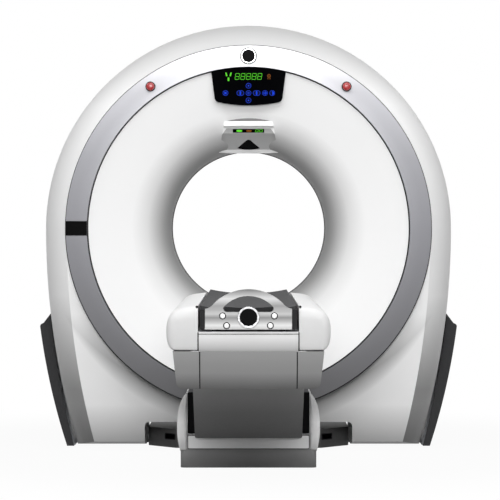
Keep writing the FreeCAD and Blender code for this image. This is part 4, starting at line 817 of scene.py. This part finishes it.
CAP_IN = 0.1475
CAP_OUT = 0.1640
CAP_DROP = 0.046
CAP_DEEP = -0.045
CAP_FRONT = -0.0035
end_caps = bmesh.new()
for side in (-1, 1):
    spot = handle.moved(side * (CAP_IN + CAP_OUT) / 2, -CAP_DROP)
    outline = rounded_box((CAP_OUT - CAP_IN) / 2, 0.033, 0.002)
    slab(end_caps, spot, outline, CAP_DEEP, CAP_FRONT, 0.0015)
piece("cradle_end_caps", end_caps, MATERIALS["black_plastic"], "cradle_slider")

# ---------------------------------------------------------------- table covers


def sliced(bm, axis, places):
    """Cuts a mesh at planes across an axis, so that it can bend there."""
    normal = Vector((0, 0, 0))
    normal[axis] = 1
    for place in places:
        everything = list(bm.verts) + list(bm.edges) + list(bm.faces)
        bmesh.ops.bisect_plane(bm, geom=everything, plane_co=normal * place, plane_no=normal)


def steps(low, high, count):
    """Evenly spread places from low to high, both ends among them."""
    return [low + (high - low) * step / count for step in range(count + 1)]


LEAN_REACH = 0.2  # how far behind the front the lean still shows
LEAN_CUTS = 12
TOP_CUTS = 6
WELD = 0.00001
FLAT_BELOW = math.radians(0.5)  # faces that meet at less than this become one


def lean(bm, high, low, depth):
    """Curves a front back towards its foot: by depth at the low end, and the less behind it."""
    front = min(vertex.co.y for vertex in bm.verts)
    top = max(vertex.co.z for vertex in bm.verts)
    sliced(bm, 2, steps(low, high, LEAN_CUTS) + steps(high, top, TOP_CUTS)[1:-1])
    for vertex in bm.verts:
        share = min(max((high - vertex.co.z) / (high - low), 0), 1)
        near = max(1 - (vertex.co.y - front) / LEAN_REACH, 0)
        vertex.co.y += depth * share * share * near


def reshaped(node, body, slot, *forms):
    """A CAD cover with a softer front, which stands for the plain one."""
    bm = bmesh.new()
    bm.from_mesh(nodes[node].data)
    bmesh.ops.remove_doubles(bm, verts=bm.verts, dist=WELD)
    bmesh.ops.dissolve_limit(bm, angle_limit=FLAT_BELOW, verts=bm.verts, edges=bm.edges)
    bm.normal_update()
    for form, *values in forms:
        form(bm, *values)
        bm.normal_update()
    made = piece("soft_" + node, bm, nodes[node].data.materials[0], body, smooth=True)
    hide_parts(node)
    return made


side_low, side_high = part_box("table_side_right")
lower_low, lower_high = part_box("lower_cover_centre")
panel_low, panel_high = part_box("foot_panel")
# where each front starts to lean, where it ends, and how far back it is there
LOWER_LEAN = (lower_high.z, lower_low.z, 0.048)
PANEL_LEAN = (panel_high.z, panel_low.z, 0.007)
SIDE_LEAN = (side_high.z - 0.06, side_low.z, 0.010)
SIDE_INSET = (0.040, 0.030, 0.006)  # how far in the nose starts: upwards, outwards, downwards
SIDE_NOSE = 0.035
SIDE_INNER = 0.171
NOSE_SCALES = (0.02, 0.2, 0.4, 0.6, 0.8)  # of the loops across the nose's flat end
NOSE_STEPS = 9

# half of a side cover's outline, from its crest over the shoulder down to its foot
SIDE_POINTS = (
    (0.171, 0.738), (0.212, 0.7335), (0.238, 0.7275), (0.256, 0.7180), (0.2675, 0.7040),
    (0.2745, 0.6880), (0.2780, 0.6700), (0.2790, 0.6500), (0.2783, 0.6300), (0.2752, 0.6120),
    (0.2690, 0.5975), (0.2590, 0.5880), (0.2450, 0.5845), (0.208, 0.584), (0.171, 0.584),
)


def fine(points, count=4):
    """A smooth line through points, as a Catmull-Rom curve."""
    line = []
    last = len(points) - 1
    for index in range(last):
        before = Vector(points[max(index - 1, 0)])
        start = Vector(points[index])
        end = Vector(points[index + 1])
        after = Vector(points[min(index + 2, last)])
        for step in range(count):
            t = step / count
            line.append(
                start * (2 - 5 * t * t + 3 * t ** 3) / 2 + end * (t + 4 * t * t - 3 * t ** 3) / 2
                + before * (2 * t * t - t - t ** 3) / 2 + after * (t ** 3 - t * t) / 2
            )
    line.append(Vector(points[last]))
    return line


def side_cover(side):
    """A side cover of the table with a soft nose, from loops along its length."""
    outer = fine(SIDE_POINTS)
    ways = []
    for index in range(len(outer)):
        run = outer[min(index + 1, len(outer) - 1)] - outer[max(index - 1, 0)]
        ways.append(Vector((-run.y, run.x)).normalized())
    up, out, down = SIDE_INSET
    middle = Vector((SIDE_INNER, (side_low.z + side_high.z) / 2))
    high, low, depth = SIDE_LEAN

    def loop(bm, place, inset, scale=1.0):
        made = []
        for point, way in zip(outer, ways):
            tall = up if way.y > 0 else down
            width = (tall * way.y * way.y + out * way.x * way.x) * inset
            spot = point - way * width
            spot.x = max(spot.x, middle.x)
            spot = middle + (spot - middle) * scale
            share = min(max((high - spot.y) / (high - low), 0), 1)
            near = max(1 - (place - side_low.y) / LEAN_REACH, 0)
            shift = depth * share * share * near
            made.append(bm.verts.new((side * spot.x, place + shift, spot.y)))
        return made

    bm = bmesh.new()
    loops = [loop(bm, side_low.y, 1.0, scale) for scale in NOSE_SCALES]
    for step in range(NOSE_STEPS + 1):
        turn = math.pi / 2 * step / NOSE_STEPS
        place = side_low.y + SIDE_NOSE * (1 - math.cos(turn))
        loops.append(loop(bm, place, 1 - math.sin(turn)))
    loops.append(loop(bm, side_low.y + LEAN_REACH, 0.0))
    loops.append(loop(bm, side_high.y, 0.0))
    for near_loop, far_loop in zip(loops, loops[1:]):
        for index in range(len(outer) - 1):
            bm.faces.new((
                near_loop[index], near_loop[index + 1], far_loop[index + 1], far_loop[index],
            ))
    bm.faces.new(loops[0])
    bm.faces.new(list(reversed(loops[-1])))
    inner = [loop_verts[0] for loop_verts in loops]
    inner += [loop_verts[-1] for loop_verts in reversed(loops)]
    bm.faces.new(inner)
    return bm


for side, turn in (("left", -1), ("right", 1)):
    cover = piece(
        "soft_table_side_" + side, side_cover(turn), MATERIALS["cover_white"], "table_top",
        smooth=True,
    )
    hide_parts("table_side_" + side)

reshaped("foot_panel", "table_top", "cover_white", (lean, *PANEL_LEAN))
for node in ("lower_cover_centre", "lower_side_covers"):
    reshaped(node, "table_top", "body_grey", (lean, *LOWER_LEAN))

BUMPER_INSET = 0.0035
foot = Face((0, side_low.y, HANDLE_HEIGHT))
bumpers = bmesh.new()
for side in (-1, 1):
    turned(bumpers, foot.moved(side * (side_low.x + BUMPER_INSET), -BUMPER_INSET), [
        (0.0045, -0.002), (0.0045, 0.0012), (0.003, 0.0024), (0, 0.0028),
    ], 24)
rubber = MATERIALS["black_plastic"]
piece("corner_bumpers", bumpers, rubber, "table_top", smooth=True)

SEAM_HALF = 0.0020
SEAM_SHIFT = 0.0005  # from a cover's edge to the middle of the seam beside it
for name, edge, leaning in (
    ("lower_seams", lower_high.x + SEAM_SHIFT, LOWER_LEAN),
    ("panel_seams", panel_high.x + SEAM_SHIFT, PANEL_LEAN),
):
    seams = bmesh.new()
    high, low, depth = leaning
    for side in (-1, 1):
        spot = Face((side * edge, side_low.y, (low + high) / 2))
        outline = rounded_box(SEAM_HALF, (high - low) / 2 - 0.001, 0.0004)
        slab(seams, spot, outline, -0.0035, 0.0006)
    lean(seams, *leaning)
    piece(name, seams, MATERIALS["black_plastic"], "table_top")

# the pale strip along the foot panel's top, and the seam below it
PANEL_HALF = 0.1685
TRIM_DROP = 0.0032
TRIM_SEAM_DROP = 0.0075
trim = bmesh.new()
trim_face = Face((0, panel_low.y, panel_high.z - TRIM_DROP))
slab(trim, trim_face, rounded_box(PANEL_HALF, 0.003, 0.001), -0.0025, 0.0012, 0.0006)
piece("panel_trim", trim, MATERIALS["cover_white"], "table_top")
trim_seam = bmesh.new()
seam_face = Face((0, panel_low.y, panel_high.z - TRIM_SEAM_DROP))
slab(trim_seam, seam_face, rounded_box(PANEL_HALF, 0.0012, 0.0004), -0.0025, 0.0005)
piece("panel_trim_seam", trim_seam, MATERIALS["dark_cover"], "table_top")

# ---------------------------------------------------------------- table legs

# the legs' lower pivot, and the way that they rise from it at rest
PIVOT = Vector((0, -0.9851, 0.110))
LEG_WAY = (0, -0.8623, 0.5065)
leg = Face(PIVOT, LEG_WAY)
LEG_COVER_FOOT = 0.126  # along the legs, its lower edges lie below this
LEG_COVER_EDGE = 0.2215  # and its side edges further out than this
ALIGNED = 0.99  # the least cosine between two ways that count as one


def round_feet(bm, width):
    """Rounds the two lower corners of the leg cover."""
    edges = []
    for edge in bm.edges:
        first, second = (vertex.co - PIVOT for vertex in edge.verts)
        through = abs((second - first).normalized().dot(leg.out)) > ALIGNED
        low_end = max(first.dot(leg.up), second.dot(leg.up)) < LEG_COVER_FOOT
        if through and low_end and min(abs(first.x), abs(second.x)) > LEG_COVER_EDGE:
            edges.append(edge)
    bmesh.ops.bevel(bm, geom=edges, offset=width, segments=5, profile=0.5, affect="EDGES")


LEG_COVER_ROUND = 0.012
reshaped("leg_cover", "front_leg_pair", "dark_cover", (round_feet, LEG_COVER_ROUND))

# the flat bar across the legs' feet, on a web at each end
BAR_FRONT = -1.075
BAR_THICK = 0.006
BAR_HALF = (0.2515, 0.0262)
SEAL_HALF = (0.2545, 0.0288)
BAR_ROUND = 0.003
WEB_ASIDE = 0.200
WEB_RISE = 0.006
WEB_ENDS = (-0.036, 0.042)
bar = bmesh.new()
bar_face = Face((0, BAR_FRONT + BAR_THICK, PIVOT.z))
slab(bar, bar_face, rounded_box(*BAR_HALF, BAR_ROUND), 0, BAR_THICK, 0.0015)
bar_seal = bmesh.new()
slab(bar_seal, bar_face, rounded_box(*SEAL_HALF, BAR_ROUND), -0.001, 0.003)
piece("leg_bar_seal", bar_seal, MATERIALS["black_plastic"], "front_leg_pair")
for side in (-1, 1):
    web = Face((side * WEB_ASIDE, (BAR_FRONT + PIVOT.y) / 2, PIVOT.z + WEB_RISE))
    slab(bar, web, rounded_box(0.0035, 0.016, 0.001), *WEB_ENDS, 0.001)
piece("leg_bar", bar, MATERIALS["cover_white"], "front_leg_pair")

EAR_FRONT = -1.033
EAR_BULGE = 0.016
EAR_CENTRE = Vector((0.2765, 0.180))
EAR_SUNK = -0.004
EAR_SCALES = (1.0, 1.0, 0.98, 0.94, 0.87, 0.77, 0.62, 0.42, 0.2, 0.02)
EAR_POINTS = (
    (0.2565, 0.3100), (0.2630, 0.3080), (0.2760, 0.2900), (0.2880, 0.2600), (0.2950, 0.2250),
    (0.2985, 0.1850), (0.2980, 0.1400), (0.2935, 0.1050), (0.2860, 0.0760), (0.2700, 0.0740),
    (0.2580, 0.0790), (0.2562, 0.1300), (0.2560, 0.2000), (0.2562, 0.2700), (0.2565, 0.3100),
)


def ear_cap(side):
    """The crowned front of an ear, from shrinking loops."""
    outline = fine(EAR_POINTS)[:-1]
    cap = bmesh.new()
    rings = []
    for share in EAR_SCALES:
        rise = EAR_BULGE * math.sqrt(1 - share ** 3) if rings else EAR_SUNK
        ring = []
        for point in outline:
            spot = EAR_CENTRE + (point - EAR_CENTRE) * share
            ring.append(cap.verts.new((side * spot.x, EAR_FRONT - rise, spot.y)))
        rings.append(ring)
    count = len(outline)
    for ring, following in zip(rings, rings[1:]):
        for index in range(count):
            after = (index + 1) % count
            cap.faces.new((ring[index], ring[after], following[after], following[index]))
    cap.faces.new(rings[0])
    cap.faces.new(list(reversed(rings[-1])))
    return cap


for side, turn in (("left", -1), ("right", 1)):
    piece("ear_cap_" + side, ear_cap(turn), ear_enamel_painted_light, "base", smooth=True)

# the dark plates that close the gaps between the leg cover and the ears
LINING = (0.239, -1.020, 0.2285)  # the middle of the right one
LINING_THICK = 0.010
RIB_ASIDE = 0.0105
RIB_TOP = 0.0115
linings = bmesh.new()
for side in (-1, 1):
    lining = Face((side * LINING[0], *LINING[1:]))
    slab(linings, lining, rounded_box(0.0155, 0.0865, 0.004), 0, LINING_THICK, 0.0015)
    rib = lining.moved(side * RIB_ASIDE, 0)
    slab(linings, rib, rounded_box(0.0030, 0.080, 0.001), LINING_THICK, RIB_TOP)
piece("ear_linings", linings, MATERIALS["boss_dark"], "base")

# ---------------------------------------------------------------- slots of the base cover

base_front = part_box("base_front_cover")[0][1]
SLANT_FAR = 0.460
SLANT_NEAR = 0.330
SLANT_DEPTH = 0.150
SLOT_HEIGHT = 0.050
SLOT_SHIFT = 0.058
SLOT = rounded_box(0.034, 0.011, 0.004)
SLOT_FRAME = rounded_box(0.038, 0.015, 0.006)
slots = bmesh.new()
slot_frames = bmesh.new()
for side in (-1, 1):
    far = Vector((side * SLANT_FAR, base_front + SLANT_DEPTH, 0))
    near = Vector((side * SLANT_NEAR, base_front, 0))
    run = (near - far) * (-side)
    slant = Face((far + near) / 2 + Vector((0, 0, SLOT_HEIGHT)), (0, 0, 1), run)
    spot = slant.moved(SLOT_SHIFT * -side, 0)
    slab(slots, spot, SLOT, -0.001, 0.0006)
    frame_of(slot_frames, spot, SLOT_FRAME, SLOT, -0.001, 0.0022)
piece("base_slots", slots, MATERIALS["panel_black"], "base")
piece("base_slot_frames", slot_frames, MATERIALS["dark_cover"], "base")

# ---------------------------------------------------------------- stage, light and camera


SHADOW_NEAR = 1.2
SHADOW_FAR = 2.6
FLOOR_TONE = 0.55
FLOOR_GLOW = 0.95
FLOOR_REACH = 40
FLOOR_LEVEL = -0.001
WORLD_GLOW = 0.15
WHITE = (1, 1, 1, 1)


def seen(tree):
    """1 for rays from the camera and for those that metal and glass send on, and 0 for the rest."""
    rays = tree.nodes.new("ShaderNodeLightPath")
    share = rays.outputs["Is Camera Ray"]
    for kind in ("Is Glossy Ray", "Is Transmission Ray"):
        either = tree.nodes.new("ShaderNodeMath")
        either.operation = "MAXIMUM"
        tree.links.new(share, either.inputs[0])
        tree.links.new(rays.outputs[kind], either.inputs[1])
        share = either.outputs[0]
    return share


def floor_material():
    """A pale floor that keeps the shadow near the scanner and is white to the camera beyond."""
    material = bpy.data.materials.new("floor")
    material.use_nodes = True
    tree = material.node_tree
    surface = tree.nodes["Principled BSDF"]
    surface.inputs["Base Color"].default_value = (*grey(FLOOR_TONE), 1)
    surface.inputs["Roughness"].default_value = 0.9
    surface.inputs["Specular IOR Level"].default_value = 0.0
    place = tree.nodes.new("ShaderNodeTexCoord")
    distance = tree.nodes.new("ShaderNodeVectorMath")
    distance.operation = "LENGTH"
    tree.links.new(place.outputs["Object"], distance.inputs[0])
    far = tree.nodes.new("ShaderNodeMapRange")
    far.interpolation_type = "SMOOTHSTEP"
    far.inputs["From Min"].default_value = SHADOW_NEAR
    far.inputs["From Max"].default_value = SHADOW_FAR
    far.inputs["To Min"].default_value = FLOOR_GLOW
    tree.links.new(distance.outputs["Value"], far.inputs["Value"])
    share = tree.nodes.new("ShaderNodeMath")
    share.operation = "MULTIPLY"
    tree.links.new(far.outputs["Result"], share.inputs[0])
    tree.links.new(seen(tree), share.inputs[1])
    glow = tree.nodes.new("ShaderNodeEmission")
    glow.inputs["Color"].default_value = WHITE
    mixed = tree.nodes.new("ShaderNodeMixShader")
    tree.links.new(share.outputs[0], mixed.inputs["Fac"])
    tree.links.new(surface.outputs["BSDF"], mixed.inputs[1])
    tree.links.new(glow.outputs["Emission"], mixed.inputs[2])
    tree.links.new(mixed.outputs["Shader"], tree.nodes["Material Output"].inputs["Surface"])
    return material


def studio_world():
    """A white backdrop to the camera, which lights the object only a little."""
    world = bpy.data.worlds.new("studio")
    world.use_nodes = True
    tree = world.node_tree
    strength = tree.nodes.new("ShaderNodeMix")
    strength.inputs["A"].default_value = WORLD_GLOW
    strength.inputs["B"].default_value = 1.0
    tree.links.new(seen(tree), strength.inputs["Factor"])
    background = tree.nodes["Background"]
    background.inputs["Color"].default_value = WHITE
    tree.links.new(strength.outputs["Result"], background.inputs["Strength"])
    return world


corners = [(-1, -1), (1, -1), (1, 1), (-1, 1)]
floor_mesh = bpy.data.meshes.new("floor")
floor_mesh.from_pydata(
    [(FLOOR_REACH * x, FLOOR_REACH * y, 0) for x, y in corners], [], [(0, 1, 2, 3)]
)
floor = bpy.data.objects.new("floor", floor_mesh)
floor.location.z = FLOOR_LEVEL
floor_mesh.materials.append(floor_material())
bpy.context.scene.collection.objects.link(floor)
bpy.context.scene.world = studio_world()


LAMP_AIM = Vector((0, -0.4, 1.1))


def area_light(name, place, size, power):
    """A soft lamp that points at the middle of the scanner."""
    lamp = bpy.data.lights.new(name, "AREA")
    lamp.shape = "RECTANGLE"
    lamp.size, lamp.size_y = size
    lamp.energy = power
    holder = bpy.data.objects.new(name, lamp)
    holder.location = place
    holder.rotation_euler = (LAMP_AIM - Vector(place)).to_track_quat("-Z", "Y").to_euler()
    bpy.context.scene.collection.objects.link(holder)


# name, place, size and power
LAMPS = (
    ("frontal", (0, -16, 3.8), (4.5, 2.4), 930),
    ("overhead", (0, -3.4, 4.4), (3.0, 1.6), 90),
    ("upper_left", (-3.6, -3.4, 4.4), (1.6, 1.6), 50),
    ("upper_right", (3.6, -3.4, 4.4), (1.6, 1.6), 50),
)
for lamp in LAMPS:
    area_light(*lamp)

CAMERA_AWAY = 11.55  # from the bore's middle, at the height of its axis
CAMERA_LENS = 181.2
CAMERA_SENSOR = 36
CAMERA_SHIFT = (0.003, -0.0434)
camera_data = bpy.data.cameras.new("camera")
camera_data.lens = CAMERA_LENS
camera_data.sensor_width = CAMERA_SENSOR
camera_data.shift_x, camera_data.shift_y = CAMERA_SHIFT
camera = bpy.data.objects.new("camera", camera_data)
camera.location = (0, -CAMERA_AWAY, ISO)
camera.rotation_euler = (math.radians(90), 0, 0)
bpy.context.scene.collection.objects.link(camera)
bpy.context.scene.camera = camera
bpy.context.scene.view_settings.view_transform = "Standard"
